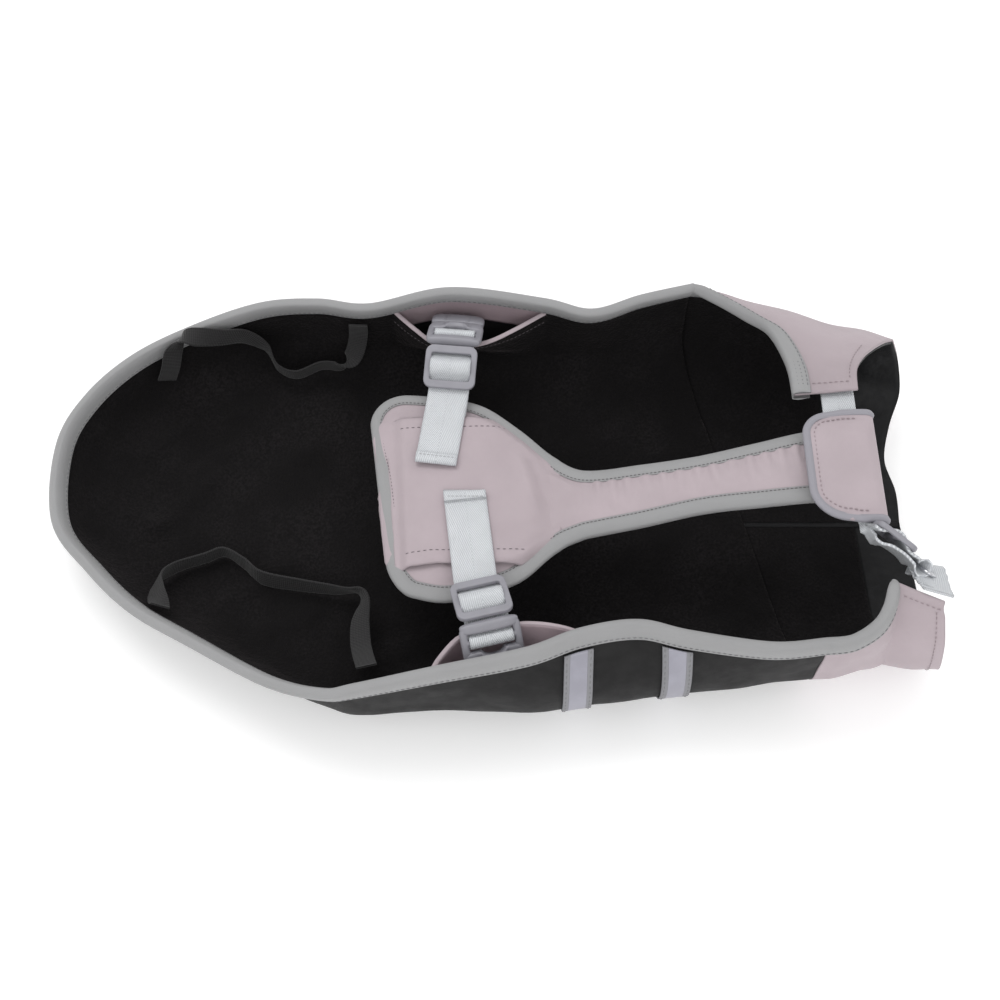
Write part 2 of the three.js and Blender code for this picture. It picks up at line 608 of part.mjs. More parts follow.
// Each pocket has a wall of its own, set into the lining with a seam round three sides.
const POCKET_WALL_ROWS = 4;
const pocketWalls = ["near", "far"].map((side) => {
  const columns = body.map((_, k) => k).filter((k) => pocketShare(k)?.pocket === POCKETS[side]);
  return { side, from: columns[0], to: columns[columns.length - 1], low: BOUND - POCKET_WALL_ROWS };
});
const inPocket = (i, j) => pocketWalls.some(({ from, to, low }) => i >= from && i < to && j >= low);
const ownCells = (i, j) => !inPocket(i, j);
add("lining", clothWall(liningMiddle, liningNormals, LINING / 2, -LINING / 2, undefined, ownCells), "fleece");
for (const { side, from, to, low } of pocketWalls) {
  const grid = liningMiddle.slice(from, to + 1).map((column) => column.slice(low, EDGE));
  const ends = [0, to - from];
  const walled = grid.map((column, i) => column.map((p, j) => {
    const beside = grid[i === ends[0] ? 1 : i === ends[1] ? ends[1] - 1 : i][j];
    const moved = beside === p ? p.clone() : shifted(p, beside.clone().sub(p).normalize(), SEAM);
    return j > 0 ? moved : shifted(moved, column[1].clone().sub(p).normalize(), SEAM);
  }));
  const normals = liningNormals.slice(from, to + 1).map((column) => column.slice(low, EDGE));
  add(`pocket_wall_${side}`, clothWall(walled, normals, LINING / 2, -LINING / 2), "fleece");
}

// Part of a grid between two of its columns, started a seam's gap past the first.
function columnsOf(grid, normals, from, to) {
  const part = grid.slice(from, to + 1).map((column) => column.map((p) => p.clone()));
  if (from > 0) {
    part[0] = part[0].map((p, j) =>
      shifted(p, part[1][j].clone().sub(p).normalize(), SEAM));
  }
  return [part, normals.slice(from, to + 1)];
}
const NEAR_FACING = 4;
const FAR_FACING = 6;
for (const [side, grid, normals, split] of [
  ["near", nearRibs, nearNormals, NEAR_FACING],
  ["far", farColumns, farNormals, FAR_FACING],
]) {
  const head = columnsOf(grid, normals, 0, split);
  const rest = columnsOf(grid, normals, split, grid.length - 1);
  const [fleece, facing] = side === "near" ? [rest, head] : [head, rest];
  add(`shoulder_lining_${side}`, clothWall(...fleece, LINING_OUT, LINING_IN), "fleece");
  add(`neck_facing_${side}`, clothWall(...facing, LINING_OUT, LINING_IN), "shell");
}

// ---- pocket pieces --------------------------------------------------------------------------
for (const side of ["near", "far"]) {
  const open = body.map((_, k) => k).filter((k) => {
    const share = pocketShare(k);
    return share && share.pocket === POCKETS[side] && share.open >= POCKET_LEAST;
  });
  const cut = (grid, last) => open.map((k) => grid[k].slice(EDGE - POCKET_ROWS, last + 1));
  const facing = [LINING_OUT, LINING_OUT - TAPE];
  add(`pocket_facing_${side}`, clothWall(cut(body, EDGE), cut(bodyNormals, EDGE), ...facing), "pink");
  const lip = [LINING / 2 + SEAM + TAPE, LINING / 2 + SEAM];
  add(`pocket_lip_${side}`, clothWall(cut(liningMiddle, BOUND), cut(liningNormals, BOUND), ...lip), "pink");
}

// ---- bindings -------------------------------------------------------------------------------
// U-shaped section over an edge: a leg on each face, and a fold past the edge.
function bindingSection({ edge, into, edgeNormal, intoNormal, room }, top, bottom, thick = BINDING) {
  const past = GAP + room;
  const beyond = edge.clone().sub(into).normalize();
  const at = (p, normal, out, ahead) => shifted(shifted(p, normal, out), beyond, ahead);
  return [
    at(into, intoNormal, top + thick, 0),
    at(edge, edgeNormal, top + thick, room + 0.3),
    at(edge, edgeNormal, top - 0.3, past + thick),
    at(edge, edgeNormal, bottom + 0.3, past + thick),
    at(edge, edgeNormal, bottom - thick, room + 0.3),
    at(into, intoNormal, bottom - thick, 0),
    at(into, intoNormal, bottom, 0),
    at(edge, edgeNormal, bottom, past),
    at(edge, edgeNormal, top, past),
    at(into, intoNormal, top, 0),
  ];
}
const BINDING_CAPS = [[0, 1, 8, 9], [8, 1, 2, 3], [7, 8, 3, 4], [7, 4, 5, 6]];
// Sides of the section that run from the edge into the cloth, as the others run out of it.
const INWARD_SIDES = [4, 8];
function bindingAlong(frames, top, bottom, thick) {
  const sections = frames.map((f) => bindingSection(f, top, bottom, thick));
  const crosses = (k, a) => INWARD_SIDES.includes(a) !== frames[k].turned;
  return facingOut(capped(loft(sections, crosses), BINDING_CAPS));
}
// turned: the grid's own cells are split from the edge here to the inside at the next frame.
// room: how much further past the edge the binding folds there.
const frameAt = (grid, normals, edge, into, turned = false, room = 0) => ({
  turned,
  room,
  edge: grid[edge[0]][edge[1]],
  into: grid[into[0]][into[1]],
  edgeNormal: normals[edge[0]][edge[1]],
  intoNormal: normals[into[0]][into[1]],
});

const rimFrames = [];
const CORNER_ROOM = 1.1;
const START_ROOM = 0.5;
for (let k = SHOULDER_NEAR_RIBS.tab; k < NEAR_SEAM; k++) {
  const room = k === SHOULDER_NEAR_RIBS.tab ? START_ROOM : 0;
  rimFrames.push(frameAt(nearRibs, nearNormals, [k, EDGE], [k, BOUND], false, room));
}
body.forEach((_, k) => {
  const room = k === body.length - 1 ? CORNER_ROOM : 0;
  rimFrames.push(frameAt(body, bodyNormals, [k, EDGE], [k, BOUND], false, room));
});
for (let j = EDGE; j < farEdge.length; j++) {
  const room = j <= EDGE + 1 ? CORNER_ROOM : 0;
  rimFrames.push(frameAt(farColumns, farNormals, [0, j], [1, j], true, room));
}
add("edge_binding", bindingAlong(rimFrames, RIM_GAP, LINING_IN - RIM_GAP), "binding");

// ---- reflective strips ----------------------------------------------------------------------
for (const { name, from, to } of STRIPS) {
  const near = name.includes("near");
  const order = body.map((_, k) => k).filter((k) => (near ? k <= RIBS_FLANK : k >= body.length - 1 - RIBS_FLANK));
  const placeOf = (x) => {
    const k = order.find((n) => (bodyRibs[n].rim.x - x) * (bodyRibs[n + 1].rim.x - x) <= 0);
    return k + (x - bodyRibs[k].rim.x) / (bodyRibs[k + 1].rim.x - bodyRibs[k].rim.x);
  };
  const [start, end] = [placeOf(from), placeOf(to)].sort((a, b) => a - b);
  const places = [start, ...order.filter((k) => k > start + 0.05 && k < end - 0.05), end];
  const [lowRow, highRow] = [BOUND + STRIP_ROWS.low, BOUND + STRIP_ROWS.high];
  const rows = [lowRow];
  for (let j = Math.ceil(lowRow + 0.1); j < highRow; j++) rows.push(j);
  rows.push(highRow);
  const between = (grid, u, v) => {
    const [i, j] = [Math.floor(u), Math.floor(v)];
    const low = grid[i][j].clone().lerp(grid[i + 1][j], u - i);
    return low.lerp(grid[i][j + 1].clone().lerp(grid[i + 1][j + 1], u - i), v - j);
  };
  const cells = places.map((u) => rows.map((v) => between(body, u, v)));
  const normals = places.map((u) => rows.map((v) => between(bodyNormals, u, v).normalize()));
  add(name, clothWall(cells, normals, RIM_GAP + TAPE, RIM_GAP), "reflective");
}

// ---- belly panel ----------------------------------------------------------------------------
// Point of the panel's middle at a station x and a share q of its half width, far edge at 1.
function bellyPoint(station, q) {
  const fade = 1 - smooth((station - BELLY_START) / 45);
  const x = station + (BELLY_CORNER * q ** 4 - BELLY_END_SLANT * q) * fade;
  const near = columnAt(BELLY, "near", x);
  const far = columnAt(BELLY, "far", x);
  const z = columnAt(BELLY, "z", x) - BELLY_CROWN * q * q;
  return point(x, (near + far) / 2 + (q * (far - near)) / 2, z);
}
const BELLY_START = -68;
const halfWidth = (x) => (columnAt(BELLY, "far", x) - columnAt(BELLY, "near", x)) / 2;
const bellyStations = [BELLY_START, BELLY_START + BINDING_WIDTH, -46, -34, -22, -10, 2, 13, 24, 34, 43];
const ruchePitch = (RUCHES.to - RUCHES.from) / RUCHES.count;
for (let n = 0; n <= RUCHES.count * 4; n++) bellyStations.push(RUCHES.from + (n * ruchePitch) / 4);
bellyStations.push(BELLY[BELLY.length - 1].x);
const INNER_ROWS = 5;
const belly = bellyStations.map((station) => {
  const inner = 1 - BINDING_WIDTH / halfWidth(station);
  const shares = [1];
  for (let j = 0; j < INNER_ROWS; j++) shares.push(lerp(inner, -inner, j / (INNER_ROWS - 1)));
  return [...shares, -1].map((q) => bellyPoint(station, q));
});
const bellyNormals = gridNormals(belly);
const ruched = (i, j) => {
  const turn = (bellyStations[i] - RUCHES.from) / ruchePitch;
  if (turn <= 0 || turn >= RUCHES.count || j < 2 || j > INNER_ROWS - 1) return 0;
  return (RUCHES.height * (1 - Math.cos(2 * Math.PI * turn))) / 2;
};
add("belly_panel", clothWall(belly, bellyNormals, PANEL / 2, -PANEL / 2, ruched), "pink");

const lastRow = INNER_ROWS + 1;
const lastColumn = belly.length - 1;
const bellyFrames = [];
const PLAIN_COLUMNS = bellyStations.indexOf(RUCHES.from);
const plain = belly.map((_, i) => i).filter((i) => {
  return i >= 1 && (i <= PLAIN_COLUMNS || i === lastColumn || (i - PLAIN_COLUMNS) % 4 === 0);
});
for (const i of [...plain].reverse()) bellyFrames.push(frameAt(belly, bellyNormals, [i, 0], [i, 1]));
for (let j = 0; j <= lastRow; j++) {
  const row = Math.min(lastRow - 1, Math.max(1, j));
  bellyFrames.push(frameAt(belly, bellyNormals, [0, j], [1, row], true));
}
for (const i of plain) bellyFrames.push(frameAt(belly, bellyNormals, [i, lastRow], [i, lastRow - 1]));
add("belly_binding", bindingAlong(bellyFrames, PANEL / 2 + GAP, -PANEL / 2 - GAP), "binding");

// Sleeve on the panel, open at its near and far edges, lifted off it for the webbing.
const SLEEVE_COLUMNS = 12;
const SLEEVE_ROWS = 8;
const SLEEVE_RISE = 8;
const sleeve = [];
const sleeveFrom = BELLY_START + BINDING_WIDTH + 1.8;
for (let i = 0; i <= SLEEVE_COLUMNS; i++) {
  const station = lerp(sleeveFrom, SLEEVE_SPAN.to, i / SLEEVE_COLUMNS);
  const [near, far] = [columnAt(BELLY, "near", station), columnAt(BELLY, "far", station)];
  const low = Math.max(SLEEVE_SPAN.near, near + BINDING_WIDTH + 1);
  const high = Math.min(SLEEVE_SPAN.far, far - BINDING_WIDTH - 1);
  const edge = Math.min(station - sleeveFrom, SLEEVE_SPAN.to - station);
  const lift = PANEL / 2 + GAP + SLEEVE / 2 + SLEEVE_SPAN.lift * smooth(edge / SLEEVE_RISE);
  const column = [];
  for (let j = 0; j <= SLEEVE_ROWS; j++) {
    const y = lerp(high, low, j / SLEEVE_ROWS);
    const p = bellyPoint(station, (y - (near + far) / 2) / ((far - near) / 2));
    column.push(point(p.x, p.y, p.z + lift));
  }
  sleeve.push(column);
}
add("belly_sleeve", clothWall(sleeve, gridNormals(sleeve), SLEEVE / 2, -SLEEVE / 2), "pink");

// ---- belly webbing, sliders and buckles -----------------------------------------------------
const upright = point(0, 0, 1);

// Frame of a plate in a strap's plane: its middle, the way along it and its tilt.
function plateFrame(origin, way, distance, height, degrees) {
  const [c, s] = [Math.cos(radians(degrees)), Math.sin(radians(degrees))];
  const flat = point(way[0], way[1], 0).normalize();
  const middle = shifted(origin, flat, distance).setZ(origin.z + height);
  const along = flat.clone().multiplyScalar(c).addScaledVector(upright, s);
  const normal = upright.clone().multiplyScalar(c).addScaledVector(flat, -s);
  return { middle, along, normal, side: along.clone().cross(normal).normalize() };
}
const onPlate = ({ middle, along, normal }, u, w) => shifted(shifted(middle, along, u), normal, w);

// A run of webbing through a plate: under its end bar, over its middle bar and under again.
function throughPlate(plate, { thick, bar, rim, length, body: solid }, webbing) {
  const clear = thick / 2 + GAP + webbing.thick / 2;
  const slot = length / 2 - rim;
  const over = bar / 2 + 0.9;
  const under = solid ? length / 2 - solid - 1.3 : slot - 0.9;
  return [[-slot + 0.9, -clear], [-over, clear], [over, clear], [under, -clear]].map(([u, w]) =>
    onPlate(plate, u, w)
  );
}

function roundedOutline(width, length, radius) {
  const [w, l] = [width / 2, length / 2];
  const shape = new THREE.Shape();
  shape.moveTo(-w + radius, -l);
  shape.lineTo(w - radius, -l);
  shape.quadraticCurveTo(w, -l, w, -l + radius);
  shape.lineTo(w, l - radius);
  shape.quadraticCurveTo(w, l, w - radius, l);
  shape.lineTo(-w + radius, l);
  shape.quadraticCurveTo(-w, l, -w, l - radius);
  shape.lineTo(-w, -l + radius);
  shape.quadraticCurveTo(-w, -l, -w + radius, -l);
  return shape;
}

function windowPath(width, from, to) {
  const path = new THREE.Path();
  path.moveTo(-width / 2, from);
  path.lineTo(width / 2, from);
  path.lineTo(width / 2, to);
  path.lineTo(-width / 2, to);
  path.closePath();
  return path;
}

// Flat plate with two windows on both sides of a bar, and a longer body past them if it has one.
function plateGeometry({ width, length, thick, window, bar, rim, body: solid = rim }) {
  const shape = roundedOutline(width, length, 5);
  shape.holes.push(windowPath(window, -length / 2 + rim, -bar / 2));
  shape.holes.push(windowPath(window, bar / 2, length / 2 - solid));
  const options = { depth: thick, bevelEnabled: false, curveSegments: 4 };
  return new THREE.ExtrudeGeometry(shape, options).translate(0, 0, -thick / 2);
}

function place(mesh, { middle, along, side, normal }) {
  mesh.position.copy(middle);
  mesh.quaternion.setFromRotationMatrix(new THREE.Matrix4().makeBasis(side, along, normal));
}

const bellyZ = (x, y) => {
  const [near, far] = [columnAt(BELLY, "near", x), columnAt(BELLY, "far", x)];
  const q = (y - (near + far) / 2) / ((far - near) / 2);
  return columnAt(BELLY, "z", x) - BELLY_CROWN * q * q;
};

// Stations of one side's webbing, from the free end's tip to where it enters the sleeve.
function strapRun(side, { x, y, z, way, rise, drop, tip, slot }) {
  const origin = point(x, y, z);
  const flat = point(way[0], way[1], 0).normalize();
  const slider = plateFrame(origin, way, 0, 0, rise);
  const half = SLIDER.length / 2;
  const hinge = {
    l: half * Math.cos(radians(rise)) + PLATE_GAP,
    h: half * Math.sin(radians(rise)),
  };
  const reach = MALE.length / 2;
  const male = plateFrame(
    origin, way, hinge.l + reach * Math.cos(radians(drop)), hinge.h - reach * Math.sin(radians(drop)), -drop
  );
  place(add(`slider_${side}`, plateGeometry(SLIDER), "plastic"), slider);
  place(add(`buckle_male_${side}`, plateGeometry(MALE), "plastic"), male);
  const start = reach + SEAM + FEMALE.length / 2;
  const shape = roundedOutline(FEMALE.width, FEMALE.length, 3);
  const options = { depth: FEMALE.thick, bevelEnabled: false, curveSegments: 3 };
  const female = new THREE.ExtrudeGeometry(shape, options).translate(0, 0, -FEMALE.thick / 2);
  place(add(`buckle_female_${side}`, female, "plastic"), { ...male, middle: onPlate(male, start, 0) });

  // Anchor of webbing from the buckle's lower end down into the pocket.
  const end = onPlate(male, start + FEMALE.length / 2 + GAP, 0);
  const anchorAcross = point(flat.y, -flat.x, 0);
  const anchor = [[0, 0], [1.5, 2], [2.5, 6], [2.5, ANCHOR_DROP]].map(([past, fall]) => ({
    at: shifted(shifted(end, flat, past), upright, -fall), across: anchorAcross,
  }));
  add(`anchor_${side}`, ribbon(anchor, BELLY_WEBBING), "webbing");

  const along = (s, height) => shifted(origin, flat, s).setZ(height);
  const above = PANEL / 2 + GAP + SLEEVE_SPAN.lift + SLEEVE + WEBBING_LIFT + BELLY_WEBBING.thick / 2;
  const under = PANEL / 2 + WEBBING_LIFT + BELLY_WEBBING.thick / 2;
  const onCloth = (s, lift) => {
    const p = along(s, 0);
    return p.setZ(bellyZ(p.x, p.y) + lift);
  };
  const sliderClear = SLIDER.thick / 2 + GAP + BELLY_WEBBING.thick / 2;
  const maleClear = MALE.thick / 2 + GAP + BELLY_WEBBING.thick / 2;
  const second = BELLY_WEBBING.thick + GAP + 0.3;
  const top = [
    onCloth(-tip, above),
    onCloth(-tip * 0.8, above),
    onCloth(slot, above + 0.8),
    onPlate(slider, -half - 2, -sliderClear),
    ...throughPlate(slider, SLIDER, BELLY_WEBBING),
    ...throughPlate(male, MALE, BELLY_WEBBING),
  ];
  const turn = MALE.length / 2 - MALE.body - 1.3;
  const back = [
    onPlate(male, turn + 0.2, -maleClear - 1.4),
    onPlate(male, turn - 1.4, -maleClear - second),
    onPlate(male, -reach + 6, -maleClear - second),
    onPlate(slider, half - 4.5, -sliderClear - second),
    onPlate(slider, -half, -sliderClear - second),
    onCloth(slot + 9, under + 2.2),
    onCloth(slot - 1, under),
    onCloth(slot - 9, under),
  ];
  const sign = side === "far" ? 1 : -1;
  const across = point(sign * flat.y, -sign * flat.x, 0);
  return [...top, ...back].map((at) => ({ at, across }));
}
const farRun = strapRun("far", STRAPS.far);
const nearRun = strapRun("near", STRAPS.near).reverse();
const middleRun = [0.25, 0.5, 0.75].map((share) => {
  const at = farRun[farRun.length - 1].at.clone().lerp(nearRun[0].at, share);
  at.setZ(bellyZ(at.x, at.y) + PANEL / 2 + WEBBING_LIFT + BELLY_WEBBING.thick / 2);
  return { at, across: farRun[0].across.clone().lerp(nearRun[0].across, share) };
});
add("belly_webbing", ribbon([...farRun, ...middleRun, ...nearRun], BELLY_WEBBING), "webbing");

// ---- chest flap -----------------------------------------------------------------------------
// Folded round the chest webbing: lower layer, fold at the neck side, upper layer with a round end.
const flapShares = (() => {
  const edge = 1 - (2 * PIPING_WIDTH) / (FLAP.far - FLAP.near);
  return [-1, -edge, -0.62, -0.22, 0.22, 0.62, edge, 1];
})();
const flapColumns = [];
const flapMiddleY = (FLAP.far + FLAP.near) / 2;
const flapHalf = (FLAP.far - FLAP.near) / 2;
const foldRadius = (FLAP.high - FLAP.low) / 2;
const flapColumn = (place) => flapShares.map((q) => {
  const { x, z, round = 0 } = place(q);
  return point(x, flapMiddleY + q * flapHalf * (1 - round), z);
});
for (const t of [0, 0.35, 0.7, 1]) {
  flapColumns.push(flapColumn(() => ({
    x: lerp(FLAP.start, FLAP.fold, t), z: lerp(FLAP.low - 1.2, FLAP.low, t), round: 0.12 * (1 - t),
  })));
}
for (let k = 1; k < 6; k++) {
  const turn = (Math.PI * k) / 6;
  flapColumns.push(flapColumn(() => ({
    x: FLAP.fold + Math.sin(turn) * foldRadius * 1.3,
    z: FLAP.low + foldRadius * (1 - Math.cos(turn)),
  })));
}
const flapTopFirst = flapColumns.length;
const flapTopSpan = FLAP.fold - FLAP.end;
for (const t of [0, 0.25, 0.5, 0.72, 1 - PIPING_WIDTH / flapTopSpan, 1]) {
  flapColumns.push(flapColumn((q) => ({
    x: lerp(FLAP.fold, FLAP.end + FLAP_CORNER * q ** 8, t),
    z: FLAP.high - 1.2 * t * t,
    round: 0.05 * t ** 4,
  })));
}
const flapNormals = gridNormals(flapColumns);
add("chest_flap", clothWall(flapColumns, flapNormals, FLAP.thick / 2, -FLAP.thick / 2), "pink");
const flapEnd = flapColumns.length - 1;
const flapRow = flapShares.length - 1;
const flapFrames = [];
for (let i = flapTopFirst; i < flapEnd; i++) {
  flapFrames.push(frameAt(flapColumns, flapNormals, [i, 0], [i, 1], true));
}
for (let j = 0; j <= flapRow; j++) {
  const row = Math.min(flapRow - 1, Math.max(1, j));
  flapFrames.push(frameAt(flapColumns, flapNormals, [flapEnd, j], [flapEnd - 1, row]));
}
for (let i = flapEnd - 1; i >= flapTopFirst; i--) {
  flapFrames.push(frameAt(flapColumns, flapNormals, [i, flapRow], [i, flapRow - 1], true));
}
const PIPING = 0.6;
add("chest_flap_piping", bindingAlong(flapFrames, FLAP.thick / 2 + SEAM, -FLAP.thick / 2 - SEAM, PIPING), "piping");

// ---- chest webbing, slider, ring and ring loop ----------------------------------------------
const chestFrame = (() => {
  const { x, y, z, way } = CHEST_END;
  const along = point(way[0], way[1], 0).normalize();
  const normal = point(-way[1], way[0], 0).normalize();
  return { middle: point(x, y, z), along, normal, side: along.clone().cross(normal).normalize() };
})();
place(add("chest_slider", plateGeometry(CHEST_SLIDER), "plastic"), chestFrame);
const chestClear = CHEST_SLIDER.thick / 2 + GAP + CHEST_WEBBING.thick / 2;
const chestSecond = CHEST_WEBBING.thick + GAP + 0.3;
const chestHalf = CHEST_SLIDER.length / 2;
const chestStations = evenRows(CHEST_RUN, 20).map(({ x, y, z, turn }, k, all) => {
  const next = all[Math.min(all.length - 1, k + 1)];
  const last = all[Math.max(0, k - 1)];
  const along = point(next.x - last.x, next.y - last.y, next.z - last.z).normalize();
  const flat = upright.clone().cross(along).normalize();
  flat.multiplyScalar(Math.cos(radians(turn))).addScaledVector(upright, Math.sin(radians(turn)));
  return { at: point(x, y, z), across: flat };
});
const ringNear = onPlate(chestFrame, RING_PLACE.along, -RING_PLACE.behind);
const ringWay = point(...RING_PLACE.way, 0).normalize();
const ringSpan = RING.length - RING.wire;
const ringFar = shifted(ringNear, ringWay, ringSpan);
const ringRadius = RING.wire * Math.SQRT1_2 + GAP + CHEST_WEBBING.thick / 2;

// Stations of a webbing turned round an upright bar, past its side that faces ahead.
function roundBar(bar, ahead, aside, across) {
  return [-90, -54, -18, 18, 54, 90].map((degrees) => {
    const turn = radians(degrees);
    const at = shifted(bar, ahead, Math.cos(turn) * ringRadius);
    return { at: shifted(at, aside, Math.sin(turn) * ringRadius), across: across.clone() };
  });
}
const uprightAt = (at) => ({ at, across: upright.clone() });
chestStations.push(
  uprightAt(onPlate(chestFrame, 0, -chestClear - chestSecond - 0.8)),
  uprightAt(onPlate(chestFrame, chestHalf - 3, -chestClear - chestSecond)),
  ...roundBar(ringNear, chestFrame.along, chestFrame.normal, upright),
  uprightAt(onPlate(chestFrame, chestHalf + 2, -chestClear)),
  ...throughPlate(chestFrame, CHEST_SLIDER, CHEST_WEBBING).reverse().map(uprightAt),
  uprightAt(onPlate(chestFrame, -chestHalf - 1.5, -chestClear))
);
add("chest_webbing", ribbon(chestStations, CHEST_WEBBING), "webbing");

const ringShape = roundedOutline(RING.width, RING.length, 2.5);
const ringHole = [-ringSpan / 2 + RING.wire / 2, ringSpan / 2 - RING.wire / 2];
ringShape.holes.push(windowPath(RING.width - 2 * RING.wire, ...ringHole));
const ringOptions = { depth: RING.wire, bevelEnabled: false, curveSegments: 3 };
const ringGeometry = new THREE.ExtrudeGeometry(ringShape, ringOptions).translate(0, 0, -RING.wire / 2);
place(add("chest_ring", ringGeometry, "metal"), {
  middle: ringNear.clone().lerp(ringFar, 0.5),
  side: upright,
  along: ringWay,
  normal: upright.clone().cross(ringWay),
});

// Loop of webbing between the ring's far bar and the near tab's end, twisted a quarter turn.
const LOOP_STEPS = 5;
const LOOP_START = 3.6;
const LOOP_PLACE = 0.8;
const LOOP_TURNED = 0.45;
const down = point(0, 0, -1);
const tabCorners = [nearRibs[SHOULDER_NEAR_RIBS.tab], nearRibs[0]].map((points) => points[EDGE]);
const tabWay = tabCorners[1].clone().sub(tabCorners[0]).normalize();
const tabRib = nearRibs[2];
const beyondTab = tabRib[EDGE].clone().sub(tabRib[BOUND]).projectOnPlane(tabWay).normalize();
const tabMiddle = shifted(
  shifted(tabCorners[0].clone().lerp(tabCorners[1], LOOP_PLACE), nearNormals[2][EDGE], LINING_IN / 2), beyondTab, LOOP_START
);
const loopTo = ringFar.clone().sub(tabMiddle).projectOnPlane(upright).normalize();
const loopSide = (sign) => {
  const stations = [];
  for (let k = 0; k < LOOP_STEPS; k++) {
    const t = k / LOOP_STEPS;
    const turned = lerp(LOOP_TURNED, 1, smooth(t / 0.7));
    const across = tabWay.clone().lerp(down, turned).normalize();
    const along = beyondTab.clone().lerp(loopTo, t).projectOnPlane(across).normalize();
    const out = lerp(CHEST_WEBBING.thick / 2 + 0.25, ringRadius, clamp01(t / 0.7)) * sign;
    const at = shifted(tabMiddle.clone().lerp(ringFar, t), across.clone().cross(along), out);
    stations.push({ at, across });
  }
  return stations;
};
const loopAside = down.clone().cross(loopTo);
add("ring_loop", ribbon([
  ...loopSide(-1), ...roundBar(ringFar, loopTo, loopAside, down), ...loopSide(1).reverse(),
], CHEST_WEBBING), "webbing");

// ---- elastics -------------------------------------------------------------------------------
for (const [name, rows] of [["elastic_near", ELASTIC_NEAR], ["elastic_far", ELASTIC_FAR]]) {
  const stations = evenRows(rows, 34).map(({ x, y, z, ax, ay, az }) => ({
    at: point(x, y, z),
    across: point(ax, ay, az).normalize(),
  }));
  add(name, ribbon(stations, ELASTIC), "elastic");
}

// The frame's origin is the middle of the box's underside.
const box = new THREE.Box3().setFromObject(root);
const middle = box.getCenter(point(0, 0, 0));
for (const mesh of root.children) mesh.position.sub(point(middle.x, middle.y, box.min.z));

export default root;
